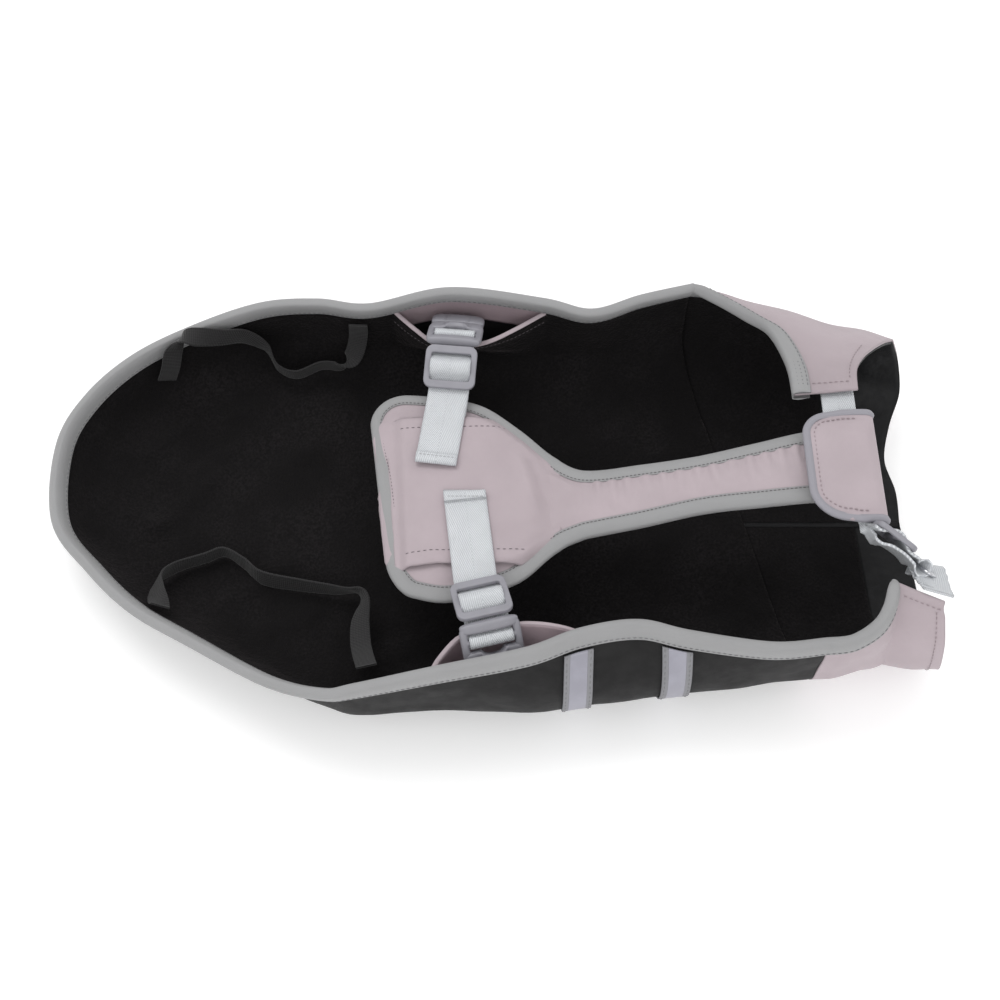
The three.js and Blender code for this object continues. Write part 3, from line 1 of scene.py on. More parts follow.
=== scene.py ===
# Dog raincoat lying open on its back: cloth, bindings, straps, buckles, elastics and studio.
import json
import math
import bmesh
import bpy
import numpy as np
from mathutils import Vector
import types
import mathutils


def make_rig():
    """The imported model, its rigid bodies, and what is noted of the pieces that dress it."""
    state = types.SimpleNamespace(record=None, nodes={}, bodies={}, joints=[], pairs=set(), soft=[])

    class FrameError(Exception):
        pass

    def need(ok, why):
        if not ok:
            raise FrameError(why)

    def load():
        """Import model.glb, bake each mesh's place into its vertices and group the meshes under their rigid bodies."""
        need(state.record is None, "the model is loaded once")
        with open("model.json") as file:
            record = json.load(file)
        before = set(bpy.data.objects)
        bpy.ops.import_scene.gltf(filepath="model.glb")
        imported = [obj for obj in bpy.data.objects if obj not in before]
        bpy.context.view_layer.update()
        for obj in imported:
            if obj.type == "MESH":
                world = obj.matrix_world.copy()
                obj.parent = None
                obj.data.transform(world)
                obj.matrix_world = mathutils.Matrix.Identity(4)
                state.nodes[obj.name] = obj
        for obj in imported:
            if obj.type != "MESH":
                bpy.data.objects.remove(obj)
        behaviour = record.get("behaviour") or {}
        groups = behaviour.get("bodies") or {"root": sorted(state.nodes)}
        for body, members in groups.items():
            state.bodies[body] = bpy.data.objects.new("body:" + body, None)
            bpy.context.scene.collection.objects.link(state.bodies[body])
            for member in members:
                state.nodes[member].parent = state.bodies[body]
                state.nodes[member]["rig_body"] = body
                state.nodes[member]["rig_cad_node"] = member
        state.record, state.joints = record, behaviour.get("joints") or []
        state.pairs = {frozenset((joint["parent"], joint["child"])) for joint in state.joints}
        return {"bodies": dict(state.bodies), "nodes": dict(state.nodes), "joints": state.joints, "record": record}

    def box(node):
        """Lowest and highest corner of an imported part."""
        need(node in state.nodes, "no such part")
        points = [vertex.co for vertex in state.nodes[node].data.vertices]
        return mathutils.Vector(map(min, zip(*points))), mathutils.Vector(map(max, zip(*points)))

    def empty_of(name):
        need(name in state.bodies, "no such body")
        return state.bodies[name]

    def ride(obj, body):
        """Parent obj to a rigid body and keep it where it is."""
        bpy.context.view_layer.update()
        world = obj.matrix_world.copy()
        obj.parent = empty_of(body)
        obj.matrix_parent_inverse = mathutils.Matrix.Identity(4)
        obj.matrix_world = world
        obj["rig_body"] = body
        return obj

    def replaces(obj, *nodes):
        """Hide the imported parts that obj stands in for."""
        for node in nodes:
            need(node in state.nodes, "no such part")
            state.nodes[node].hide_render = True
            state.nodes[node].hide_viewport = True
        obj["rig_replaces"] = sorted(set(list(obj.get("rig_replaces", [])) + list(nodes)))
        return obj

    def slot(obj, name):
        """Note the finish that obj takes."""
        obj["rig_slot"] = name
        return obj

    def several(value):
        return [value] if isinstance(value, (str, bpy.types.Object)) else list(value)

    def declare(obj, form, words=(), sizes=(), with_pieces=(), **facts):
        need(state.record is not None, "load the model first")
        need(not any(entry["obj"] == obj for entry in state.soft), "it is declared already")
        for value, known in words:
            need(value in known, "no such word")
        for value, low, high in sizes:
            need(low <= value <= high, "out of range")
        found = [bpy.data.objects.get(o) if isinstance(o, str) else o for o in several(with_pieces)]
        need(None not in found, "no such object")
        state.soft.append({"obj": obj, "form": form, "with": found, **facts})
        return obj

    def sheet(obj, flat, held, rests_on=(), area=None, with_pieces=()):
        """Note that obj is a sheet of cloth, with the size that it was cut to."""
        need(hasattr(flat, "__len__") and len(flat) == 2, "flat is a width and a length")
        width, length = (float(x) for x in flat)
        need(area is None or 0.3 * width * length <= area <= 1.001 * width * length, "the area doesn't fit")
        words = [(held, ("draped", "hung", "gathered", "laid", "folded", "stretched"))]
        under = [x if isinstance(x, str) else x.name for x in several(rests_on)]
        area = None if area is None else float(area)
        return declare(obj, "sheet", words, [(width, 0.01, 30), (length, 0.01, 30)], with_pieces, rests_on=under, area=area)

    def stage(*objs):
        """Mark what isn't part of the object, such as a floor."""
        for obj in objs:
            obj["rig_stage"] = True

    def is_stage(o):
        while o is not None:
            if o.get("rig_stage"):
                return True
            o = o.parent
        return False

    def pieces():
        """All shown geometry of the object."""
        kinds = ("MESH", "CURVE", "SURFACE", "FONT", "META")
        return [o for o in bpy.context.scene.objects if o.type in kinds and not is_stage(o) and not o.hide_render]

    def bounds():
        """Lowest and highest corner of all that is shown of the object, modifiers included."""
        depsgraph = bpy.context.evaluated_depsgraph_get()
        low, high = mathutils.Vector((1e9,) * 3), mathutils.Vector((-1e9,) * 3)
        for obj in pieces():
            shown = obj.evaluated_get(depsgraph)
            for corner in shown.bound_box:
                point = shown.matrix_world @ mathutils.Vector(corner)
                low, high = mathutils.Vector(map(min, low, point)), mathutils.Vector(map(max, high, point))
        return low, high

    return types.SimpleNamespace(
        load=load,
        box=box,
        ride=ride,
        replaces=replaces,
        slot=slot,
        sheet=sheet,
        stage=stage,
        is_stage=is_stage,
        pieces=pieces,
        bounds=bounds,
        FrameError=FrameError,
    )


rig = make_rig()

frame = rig.load()
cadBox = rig.bounds()
scene = bpy.context.scene
sliderMiddle = np.array([-30.0, 84.0, 75.0])  # the far slider's middle in the tables' millimetres
lowCorner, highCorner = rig.box("slider_far")
shift = np.array((lowCorner + highCorner) / 2) * 1000 - sliderMiddle

def placed(name, data):  # an object at the origin that shows this data
    piece = bpy.data.objects.new(name, data)
    scene.collection.objects.link(piece)
    return piece

view = {"place": (0.0, -425.0, 791.1), "tilt": 30, "lens": 51, "sensor": 36}  # place in mm, tilt in degrees
cameraData = bpy.data.cameras.new("camera")
cameraData.sensor_width, cameraData.lens = view["sensor"], view["lens"]
camera = placed("camera", cameraData)
camera.location = (np.array(view["place"]) + shift) / 1000
camera.rotation_euler = (math.radians(view["tilt"]), 0, 0)
scene.camera = camera

# numbers, paths and grids
upright = np.array([0.0, 0.0, 1.0])

def mixed(a, b, t):
    return a + (b - a) * t

def smooth(t):
    t = np.clip(t, 0, 1)
    return t * t * (3 - 2 * t)

def unit(v):
    return v / np.maximum(np.linalg.norm(v, axis=-1, keepdims=True), 1e-9)

def travelled(path):  # distance along a path of points from its start
    return np.concatenate([[0.0], np.cumsum(np.linalg.norm(np.diff(path, axis=0), axis=1))])

def resampled(values, far, at):  # rows of values at new distances, from their own distances
    return np.stack([np.interp(at, far, column) for column in values.T], 1)

def tangents(path, times):  # unit steps along a path, softened that many times
    along = unit(np.gradient(path, axis=0))
    for _ in range(times):
        along[1:-1] = unit(along[:-2] + 2 * along[1:-1] + along[2:])
    return along

def squarer(turn, power):  # cosine and sine of a turn, pushed toward a square by a power below 1
    c, s = np.cos(turn), np.sin(turn)
    return np.sign(c) * np.abs(c) ** power, np.sign(s) * np.abs(s) ** power

def curveAt(rows, u):  # smooth curve through a table's rows, u counted in rows
    rows = np.asarray(rows, float)
    u = np.clip(np.atleast_1d(u).astype(float), 0, len(rows) - 1)
    i = np.minimum(u.astype(int), len(rows) - 2)
    t = (u - i)[:, None]
    a, b, c, d = (rows[np.clip(i + k, 0, len(rows) - 1)] for k in (-1, 0, 1, 2))
    return ((2 * t ** 3 - 3 * t ** 2 + 1) * b + (t ** 3 - 2 * t ** 2 + t) * (c - a) / 2
            + (3 * t ** 2 - 2 * t ** 3) * c + (t ** 3 - t ** 2) * (d - b) / 2)

def alongRows(rows, shares):  # rows at shares of the curve's length; the first three columns are a place
    rows = np.asarray(rows, float)
    u = np.linspace(0, len(rows) - 1, 24 * (len(rows) - 1) + 1)
    far = travelled(curveAt(rows, u)[:, :3])
    return curveAt(rows, np.interp(np.atleast_1d(shares) * far[-1], far, u))

def softNoise(u, v, size, seed):  # smooth noise from -1 to 1 on a lattice of that size in mm
    table = np.random.default_rng(seed).uniform(-1, 1, (64, 64))
    x, y = u / size, v / size
    i, j = np.floor(x).astype(int), np.floor(y).astype(int)
    fx, fy = smooth(x - i), smooth(y - j)
    at = lambda a, b: table[(i + a) % 64, (j + b) % 64]
    return mixed(mixed(at(0, 0), at(1, 0), fx), mixed(at(0, 1), at(1, 1), fx), fy)

def fold(x, y, start, end, width):  # soft ridge of height 1 along a line on plan, fading at its ends
    start, end = np.asarray(start, float), np.asarray(end, float)
    way = end - start
    t = ((x - start[0]) * way[0] + (y - start[1]) * way[1]) / (way @ way)
    aside = ((x - start[0]) * way[1] - (y - start[1]) * way[0]) / np.linalg.norm(way)
    return np.exp(-(aside / width) ** 2) * smooth(t * 4) * smooth((1 - t) * 4)

def gridNormals(grid):  # outward normals of a grid of points, from the steps to their neighbours
    along, up = np.empty_like(grid), np.empty_like(grid)
    along[1:-1] = grid[2:] - grid[:-2]
    along[0], along[-1] = grid[1] - grid[0], grid[-1] - grid[-2]
    up[:, 1:-1] = grid[:, 2:] - grid[:, :-2]
    up[:, 0], up[:, -1] = grid[:, 1] - grid[:, 0], grid[:, -1] - grid[:, -2]
    normal = np.cross(up, along)
    size = np.linalg.norm(normal, axis=-1, keepdims=True)
    return np.where(size > 1e-6, normal / np.maximum(size, 1e-9), [0.0, 0.0, -1.0])

def finished(mesh, material):  # smooth shaded, with its one material
    mesh.polygons.foreach_set("use_smooth", np.ones(len(mesh.polygons), dtype=bool))
    mesh.materials.append(material)
    return mesh

def meshPiece(name, points, faces, uv, material):  # points in the tables' mm; uv: one pair for each corner
    mesh = bpy.data.meshes.new(name)
    mesh.from_pydata(((points + shift) / 1000).tolist(), [], faces.tolist() if hasattr(faces, "tolist") else faces)
    if uv is not None:
        layer = mesh.uv_layers.new(name="UVMap")
        layer.data.foreach_set("uv", np.ascontiguousarray(uv, dtype=np.float32).ravel())
    return placed(name, finished(mesh, material))

def weld(piece):  # joins points that coincide, where a grid meets itself
    shape = bmesh.new()
    shape.from_mesh(piece.data)
    bmesh.ops.remove_doubles(shape, verts=shape.verts, dist=2e-5)
    bmesh.ops.dissolve_degenerate(shape, edges=shape.edges, dist=1e-6)
    shape.to_mesh(piece.data)
    shape.free()
    return piece

def gridPiece(name, grid, material, closed=False, capped=False, uv=None):  # quads between a grid's columns
    n, m = grid.shape[:2]
    index = np.arange(n * m).reshape(n, m)
    ring = grid
    if closed:
        index = np.concatenate([index, index[:, :1]], 1)
        ring = np.concatenate([grid, grid[:, :1]], 1)
    if uv is None:
        steps = np.linalg.norm(np.diff(ring, axis=1), axis=2)
        across = np.concatenate([np.zeros((n, 1)), np.cumsum(steps, axis=1)], 1)
        along = travelled(ring[:, ring.shape[1] // 2])
        uv = np.stack([across, np.broadcast_to(along[:, None], across.shape)], -1)
    cells = lambda a: np.stack([a[:-1, :-1], a[:-1, 1:], a[1:, 1:], a[1:, :-1]], 2)
    faces = cells(index).reshape(-1, 4)
    corners = cells(uv).reshape(-1, 2)
    if not capped:
        return meshPiece(name, grid.reshape(-1, 3), faces, corners, material)
    faces = faces.tolist() + [index[0, :m].tolist(), index[-1, m - 1::-1].tolist()]
    corners = np.concatenate([corners, uv[0, :m], uv[-1, m - 1::-1]])
    return meshPiece(name, grid.reshape(-1, 3), faces, corners, material)

def turnedOut(piece):  # a closed piece whose volume is below zero has its faces turned
    shape = bmesh.new()
    shape.from_mesh(piece.data)
    if shape.calc_volume(signed=True) < 0:
        bmesh.ops.reverse_faces(shape, faces=shape.faces)
        shape.to_mesh(piece.data)
    shape.free()
    return piece

def closedPiece(name, rings, material, uv=None):  # a closed skin over rings, with both ends capped
    return turnedOut(gridPiece(name, rings, material, closed=True, capped=True, uv=uv))

def thickened(piece, thick, side=0):  # cloth of that thickness in mm; side -1 is inside the grid, 1 outside
    wall = piece.modifiers.new("cloth", "SOLIDIFY")
    wall.thickness = thick / 1000
    wall.offset = side
    return piece

def dressed(piece, nodes, slot, sheet=None):  # rides on the coat, stands for its CAD nodes, is declared as cloth
    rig.ride(piece, "root")
    if nodes:
        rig.replaces(piece, *nodes)
    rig.slot(piece, slot)
    if sheet:
        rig.sheet(piece, **sheet)
    return piece

# surfaces
def tint(red, green, blue):  # sRGB from 0 to 255 as linear colour
    part = lambda c: c / 12.92 if c <= 0.04045 else ((c + 0.055) / 1.055) ** 2.4
    return (*(part(c / 255) for c in (red, green, blue)), 1.0)

class Surface:  # a procedural material; values that are the same all over are set on its shader
    def __init__(self, name, colour, roughness, **values):
        self.material = bpy.data.materials.new(name)
        self.material.use_nodes = True
        self.tree = self.material.node_tree
        self.shader = self.tree.nodes["Principled BSDF"]
        self.shader.inputs["Base Color"].default_value = colour
        self.shader.inputs["Roughness"].default_value = roughness
        for key, value in values.items():
            self.shader.inputs[key.replace("_", " ")].default_value = value
        self.colour = colour

    def put(self, socket, value):
        if isinstance(value, bpy.types.NodeSocket):
            self.tree.links.new(value, socket)
        else:
            socket.default_value = value

    def node(self, kind, **values):
        made = self.tree.nodes.new("ShaderNode" + kind)
        for key, value in values.items():
            self.put(made.inputs[key.replace("_", " ")], value)
        return made

    def math(self, kind, *values):
        node = self.node("Math")
        node.operation = kind
        for socket, value in zip(node.inputs, values):
            self.put(socket, value)
        return node.outputs[0]

    def cloth(self):  # distances across and along the piece's own weave, in mm
        own = self.node("UVMap")
        own.uv_map = "UVMap"
        return self.node("SeparateXYZ", Vector=own.outputs[0]).outputs[:2]

    def place(self):  # place on the object in mm
        scaled = self.node("VectorMath")
        scaled.operation = "SCALE"
        self.put(scaled.inputs[0], self.node("TexCoord").outputs["Object"])
        self.put(scaled.inputs["Scale"], 1000)
        return scaled.outputs[0]

    def noise(self, place, size, detail=2.0):  # 0 to 1, lumps of about that size in mm
        return self.node("TexNoise", Vector=place, Scale=1 / size, Detail=detail).outputs[0]

    def cells(self, place, size):  # distance to the nearest of scattered points
        return self.node("TexVoronoi", Vector=place, Scale=1 / size).outputs["Distance"]

    def step(self, value, low, high):  # 0 below low, 1 above high, smooth between
        node = self.node("MapRange", Value=value, From_Min=low, From_Max=high)
        node.interpolation_type = "SMOOTHSTEP"
        return node.outputs[0]

    def wave(self, phase):  # 0 to 1 and back once for each unit of phase
        turned = self.math("MULTIPLY", phase, 2 * math.pi)
        return self.math("MULTIPLY_ADD", self.math("SINE", turned), 0.5, 0.5)

    def blend(self, share, first, second):
        node = self.node("Mix")
        node.data_type = "RGBA"
        for socket, value in ((0, share), (6, first), (7, second)):
            self.put(node.inputs[socket], value)
        return node.outputs[2]

    def paint(self, colour):
        self.put(self.shader.inputs["Base Color"], colour)

    def gloss(self, value, low, high):  # roughness from low to high
        self.put(self.shader.inputs["Roughness"], self.math("MULTIPLY_ADD", value, high - low, low))

    def relief(self, *layers):  # each layer: height from 0 to 1, and its depth in mm
        under = None
        for height, depth in layers:
            node = self.node("Bump", Height=height, Distance=depth / 1000)
            if under:
                self.put(node.inputs["Normal"], under)
            under = node.outputs[0]
        self.put(self.shader.inputs["Normal"], under)

def shade(colour, factor):
    return (*(min(1.0, c * factor) for c in colour[:3]), 1.0)

# diagonal lines of u + v over a pitch, and slubs
def twillSurface(name, colour, roughness, pitch, depth, **values):
    s = Surface(name, colour, roughness, **values)
    u, v = s.cloth()
    place = s.place()
    slub = s.noise(place, 2.2, 3)
    lines = s.wave(s.math("DIVIDE", s.math("ADD", s.math("ADD", u, v), slub), pitch))
    cross = s.wave(s.math("DIVIDE", s.math("SUBTRACT", u, v), pitch * 0.62))
    weave = s.math("MULTIPLY_ADD", cross, 0.3, s.math("MULTIPLY", lines, 0.7))
    patches = s.step(s.noise(place, 26, 3), 0.3, 0.75)
    worn = s.blend(patches, shade(colour, 0.93), shade(colour, 1.06))
    s.paint(s.blend(s.math("MULTIPLY", weave, 0.55), shade(colour, 0.8), worn))
    s.gloss(patches, roughness - 0.06, roughness + 0.06)
    s.relief((weave, depth), (slub, depth * 0.8))
    return s.material

# plain weave: two crossed sines of u and v, over faint crushed patches
def softshellSurface(name, colour, roughness, depth, crush, **values):
    s = Surface(name, colour, roughness, **values)
    u, v = s.cloth()
    place = s.place()
    warp = s.wave(s.math("DIVIDE", u, 0.62))
    weft = s.wave(s.math("DIVIDE", v, 0.62))
    weave = s.math("MULTIPLY", warp, weft)
    fine = s.noise(place, 0.9, 4)
    patches = s.noise(place, 38, 3)
    creased = s.noise(place, 9, 4)
    tone = s.blend(s.step(patches, 0.3, 0.7), shade(colour, 0.95), shade(colour, 1.04))
    s.paint(s.blend(s.math("MULTIPLY", weave, 0.22), tone, shade(colour, 0.72)))
    s.gloss(s.step(creased, 0.3, 0.7), roughness - 0.07, roughness + 0.06)
    s.relief((creased, crush), (weave, depth), (fine, depth * 0.7))
    return s.material

def fleeceSurface():  # nap: two sizes of noise tufts, over broad soft waves; broad random patches of painted light and shade stand in for the light on soft folds
    colour = tint(23, 21, 22)
    s = Surface("fleece", colour, 0.96, Sheen_Weight=0.2, Sheen_Roughness=0.34, Sheen_Tint=tint(128, 120, 122),
                Specular_IOR_Level=0.18)
    place = s.place()
    nap = s.noise(place, 1.5, 5)
    tufts = s.noise(place, 5.5, 4)
    # painted light and shade: broad random patches painted darker and lighter, in place of the light and shade on the
    # fleece's soft folds
    paintedFoldShade = s.step(s.noise(place, 46, 3), 0.32, 0.72)
    tone = s.blend(paintedFoldShade, shade(colour, 0.62), shade(colour, 1.5))
    s.paint(s.blend(s.step(nap, 0.35, 0.68), shade(colour, 0.55), tone))
    s.relief((s.noise(place, 28, 2), 3.0), (tufts, 0.9), (nap, 0.75))
    return s.material

def webbingSurface():  # herringbone: steep lines of the distance from the middle plus half of v, mirrored once
    colour = tint(216, 219, 222)
    s = Surface("webbing", colour, 0.34, Sheen_Weight=0.1, Specular_IOR_Level=0.7)
    u, v = s.cloth()
    place = s.place()
    column = s.math("ABSOLUTE", u)
    lines = s.wave(s.math("DIVIDE", s.math("MULTIPLY_ADD", v, 0.5, column), 1.15))
    ridge = s.step(lines, 0.25, 0.75)
    yarn = s.noise(place, 0.7, 4)
    selvedge = s.step(column, 11.2, 12.4)
    seam = s.step(column, 0.5, 0.0)
    tone = s.blend(s.step(s.noise(place, 15, 2), 0.3, 0.7), shade(colour, 0.94), shade(colour, 1.04))
    woven = s.blend(ridge, tint(182, 185, 190), tone)
    s.paint(s.blend(s.math("MULTIPLY", s.math("MAXIMUM", seam, selvedge), 0.35), woven, tint(178, 181, 186)))
    s.gloss(ridge, 0.48, 0.27)
    s.relief((ridge, 0.3), (yarn, 0.12))
    return s.material

def plasticSurface(name, colour, roughness):  # moulded: fine orange peel, faint flow patches and scuffs
    s = Surface(name, colour, roughness, Specular_IOR_Level=0.55)
    place = s.place()
    peel = s.noise(place, 0.7, 2)
    flow = s.step(s.noise(place, 11, 3), 0.3, 0.72)
    scuff = s.step(s.noise(place, 2.4, 6), 0.62, 0.74)
    tone = s.blend(flow, shade(colour, 0.94), shade(colour, 1.05))
    s.paint(s.blend(s.math("MULTIPLY", scuff, 0.16), tone, shade(colour, 1.45)))
    s.gloss(s.math("MAXIMUM", flow, scuff), roughness - 0.05, roughness + 0.12)
    s.relief((peel, 0.035))
    return s.material

def reflectiveSurface():  # tape: smooth silver between woven grey borders, split by the distance across
    silver, border = tint(146, 145, 156), tint(140, 140, 144)
    s = Surface("reflective", silver, 0.32, Specular_IOR_Level=0.7)
    u, v = s.cloth()
    place = s.place()
    beads = s.cells(place, 0.45)
    edge = s.step(s.math("ABSOLUTE", u), 5.0, 5.25)
    rubbed = s.step(s.noise(place, 13, 4), 0.35, 0.7)
    weave = s.wave(s.math("DIVIDE", s.math("ADD", u, v), 0.8))
    tone = s.blend(rubbed, shade(silver, 0.93), shade(silver, 1.05))
    bordered = s.blend(weave, shade(border, 0.85), border)
    s.paint(s.blend(edge, tone, bordered))
    s.gloss(s.math("MAXIMUM", edge, s.math("MULTIPLY", rubbed, 0.3)), 0.3, 0.72)
    s.relief((s.math("MULTIPLY", edge, weave), 0.12), (edge, 0.2), (beads, 0.02))
    return s.material

def elasticSurface():  # ribs across the tape every 1.3 mm, and cords along it
    colour = tint(26, 25, 26)
    s = Surface("elastic", colour, 0.82, Sheen_Weight=0.1)
    u, v = s.cloth()
    place = s.place()
    ribs = s.wave(s.math("DIVIDE", v, 1.3))
    cords = s.wave(s.math("DIVIDE", u, 1.7))
    fuzz = s.noise(place, 0.5, 3)
    both = s.math("MULTIPLY_ADD", ribs, 0.7, s.math("MULTIPLY", cords, 0.3))
    s.paint(s.blend(both, shade(colour, 0.5), shade(colour, 1.7)))
    s.relief((both, 0.28), (fuzz, 0.1))
    return s.material

def facingSurface():  # coated lining: broad noise for rumples, with painted shade in their hollows and a painted highlight on their crests, over a fine diagonal sine of u + v
    colour = tint(15, 15, 17)
    s = Surface("neck_facing", colour, 0.5, Specular_IOR_Level=0.22)
    u, v = s.cloth()
    place = s.place()
    rumples = s.noise(place, 16, 3)
    grain = s.wave(s.math("DIVIDE", s.math("ADD", u, v), 0.5))
    # painted shade and highlight: the colour follows the rumples' height, darker in their hollows and lighter on their
    # crests
    s.paint(s.blend(s.step(rumples, 0.3, 0.7), shade(colour, 0.8), shade(colour, 1.3)))
    s.gloss(s.step(s.noise(place, 5, 3), 0.3, 0.7), 0.4, 0.56)
    s.relief((rumples, 1.6), (grain, 0.03))
    return s.material

def metalSurface():  # plated wire: fine noise for the marks, broader noise for the dull patches
    colour = tint(205, 206, 210)
    s = Surface("metal", colour, 0.18, Metallic=1.0)
    place = s.place()
    marks = s.noise(place, 0.4, 5)
    dull = s.step(s.noise(place, 4, 3), 0.4, 0.7)
    s.paint(s.blend(dull, colour, shade(colour, 0.85)))
    s.gloss(dull, 0.14, 0.3)
    s.relief((marks, 0.02))
    return s.material

def threadSurface(name, colour):  # twisted yarn: fine noise of the place on the object
    s = Surface(name, colour, 0.6, Sheen_Weight=0.2)
    place = s.place()
    twist = s.noise(place, 0.35, 3)
    s.paint(s.blend(twist, shade(colour, 0.75), shade(colour, 1.15)))
    s.relief((twist, 0.08))
    return s.material

fleece = fleeceSurface()
shellCloth = softshellSurface("shell_cloth", tint(17, 16, 17), 0.66, 0.1, 0.5, Sheen_Weight=0.03,
                              Specular_IOR_Level=0.3)
pinkCloth = softshellSurface("pink_cloth", tint(175, 162, 167), 0.66, 0.09, 0.45, Sheen_Weight=0.08)
pinkInside = softshellSurface("pink_inside", tint(168, 151, 157), 0.72, 0.09, 0.45, Sheen_Weight=0.06)
bindingTape = twillSurface("binding_tape", tint(163, 163, 164), 0.72, 0.95, 0.16, Sheen_Weight=0.12)
pipingTape = twillSurface("piping_tape", tint(158, 156, 164), 0.66, 0.8, 0.1, Sheen_Weight=0.1)
webbing = webbingSurface()
buckleGrey = plasticSurface("buckle_grey", tint(138, 137, 144), 0.38)
reflective = reflectiveSurface()
elastic = elasticSurface()
facing = facingSurface()
metal = metalSurface()
lightThread = threadSurface("light_thread", tint(178, 179, 182))
greyThread = threadSurface("grey_thread", tint(120, 120, 122))
darkThread = threadSurface("dark_thread", tint(84, 78, 82))
pinkThread = threadSurface("pink_thread", tint(150, 136, 140))
print("surfaces ready")

# trough of the back panel: ribs from the spine up to the bound rim
seamX, napeX, tailX, spineY = 155.0, 254.0, -150.0, 12.0
fanFrom, fanTo = 0.375, 0.632  # shares of the rim where the tail's fan of ribs starts and ends
boundDepth, rimLength = 10.0, 1010  # width of the binding, and about the rim's length
liningMiddle = -2.35  # middle of the fleece, inside the shell's outer face
rimRows = np.array([  # x, y, z, bulge, foot, lean
    (180, -105, 79, 1, 0.5, -12), (150, -106, 76, 4, 0.5, -14), (104, -101, 82, 15, 0.5, -26),
    (76, -96, 86, 24, 0.5, -32), (45, -101, 86, 23, 0.5, -32), (15, -112, 84, 15, 0.5, -26),
    (-34, -121, 78, 5, 0.5, -14), (-79, -127, 66, 0, 0.5, 5), (-99, -128, 60, -6, 0.48, 22),
    (-132, -118, 54, -12, 0.46, 34), (-179, -91, 48, -14, 0.44, 38), (-215, -69, 45, -14, 0.44, 38),
    (-244, -42, 44, -14, 0.44, 38), (-270, -8, 44, -14, 0.44, 36), (-275, 45, 46, -12, 0.44, 32),
    (-261, 79, 50, -10, 0.44, 28), (-234, 107, 54, -7, 0.45, 20), (-196, 126, 60, -3, 0.46, 10),
    (-154, 139, 66, 2, 0.48, 2), (-117, 139, 70, 4, 0.5, -4), (-83, 132, 74, 5, 0.5, -8),
    (-32, 137, 84, 5, 0.5, -10), (27, 130, 82, 5, 0.5, -12), (58, 123, 80, 6, 0.5, -14),
    (89, 131, 84, 6, 0.5, -18), (121, 135, 90, 7, 0.5, -26),
], float)

# each rib's way on plan, and its reach and height along its own length: flat over the floor, then two
# cubic curves, one up to the middle of the side and one on to the rim, which leans by its own angle
def ribPaths(spineX, rows):
    x, y, z, bulge, foot, lean = rows.T
    way = np.stack([x - spineX, y - spineY], 1)
    reach = np.linalg.norm(way, axis=1)
    sideL, sideH, flat = reach + bulge, 0.45 * z, foot * reach
    sideLean, topLean = np.radians(np.maximum(0, lean) * 0.9), np.radians(lean)
    rise = np.hypot(reach - sideL, z - sideH) * 0.4
    t = np.linspace(0, 1, 25)[None]
    def bezier(a, b, c, d):
        a, b, c, d = (np.broadcast_to(v, reach.shape)[:, None] for v in (a, b, c, d))
        return a * (1 - t) ** 3 + 3 * b * t * (1 - t) ** 2 + 3 * c * t * t * (1 - t) + d * t ** 3
    zero = np.zeros((len(reach), 1))
    l = np.concatenate([
        zero, bezier(flat, mixed(flat, sideL, 0.55), sideL - np.sin(sideLean) * sideH * 0.55, sideL),
        bezier(sideL, sideL + np.sin(sideLean) * rise, reach - np.sin(topLean) * rise, reach)], 1)
    h = np.concatenate([
        zero, bezier(0, 0, sideH - np.cos(sideLean) * sideH * 0.55, sideH),
        bezier(sideH, sideH + np.cos(sideLean) * rise, z - np.cos(topLean) * rise, z)], 1)
    far = np.concatenate([zero, np.cumsum(np.hypot(np.diff(l, axis=1), np.diff(h, axis=1)), axis=1)], 1)
    return way / reach[:, None], far, l, h

def onRibs(spineX, rows, depthOf):  # points of ribs at depths below the rim, which depend on their length
    way, far, l, h = ribPaths(spineX, rows)
    depth = depthOf(far[:, -1:])
    l = np.array([np.interp(w, f, a) for w, f, a in zip(far[:, -1:] - depth, far, l)])
    h = np.array([np.interp(w, f, a) for w, f, a in zip(far[:, -1:] - depth, far, h)])
    return np.stack([spineX[:, None] + way[:, :1] * l, spineY + way[:, 1:] * l, h], -1), depth

def rowDepth(r):  # depths of rows from 0 at the spine to 9 at the binding's border and 10 at the rim
    return lambda whole: np.where(r <= 9, whole + (boundDepth - whole) * r / 9, boundDepth * (10 - r))

def spineAt(s):  # x on the spine, from the yoke to the tail along a flank; the tail's ribs fan from one point
    return mixed(seamX, tailX, np.minimum(1, np.minimum(s / fanFrom, (1 - s) / (1 - fanTo))))

def trough(s, depthOf):  # the shell's outer face at shares s of the rim, softly rippled, with its normals
    points, depth = onRibs(spineAt(s), alongRows(rimRows, s), depthOf)
    along = s[:, None] * rimLength
    ripple = 1.5 * softNoise(along, depth, 58, 3) + 0.8 * softNoise(along, depth, 23, 4)
    ripple = ripple * smooth((depth - 12) / 26) * smooth((points[..., 2] - 8) / 22)
    points = points + gridNormals(points) * ripple[..., None]
    return points, gridNormals(points), depth

flankRibs, fanRibs = 130, 84
bodyShares = np.concatenate([
    np.linspace(0, fanFrom, flankRibs + 1), np.linspace(fanFrom, fanTo, fanRibs + 1)[1:-1],
    np.linspace(fanTo, 1, flankRibs + 1)])
shellRows = np.concatenate([np.linspace(0, 9, 49), np.linspace(9, 10, 6)[1:]])
backGrid, backNormals, _ = trough(bodyShares, rowDepth(shellRows[None]))
shell = {"thick": 1.2, "flat": (0.42, 0.47), "area": 0.146}
piece = weld(gridPiece("rain_shell", backGrid, shellCloth))
dressed(thickened(piece, shell["thick"], -1), ["back_shell"], "shell",
        {"flat": shell["flat"], "area": shell["area"], "held": "laid"})

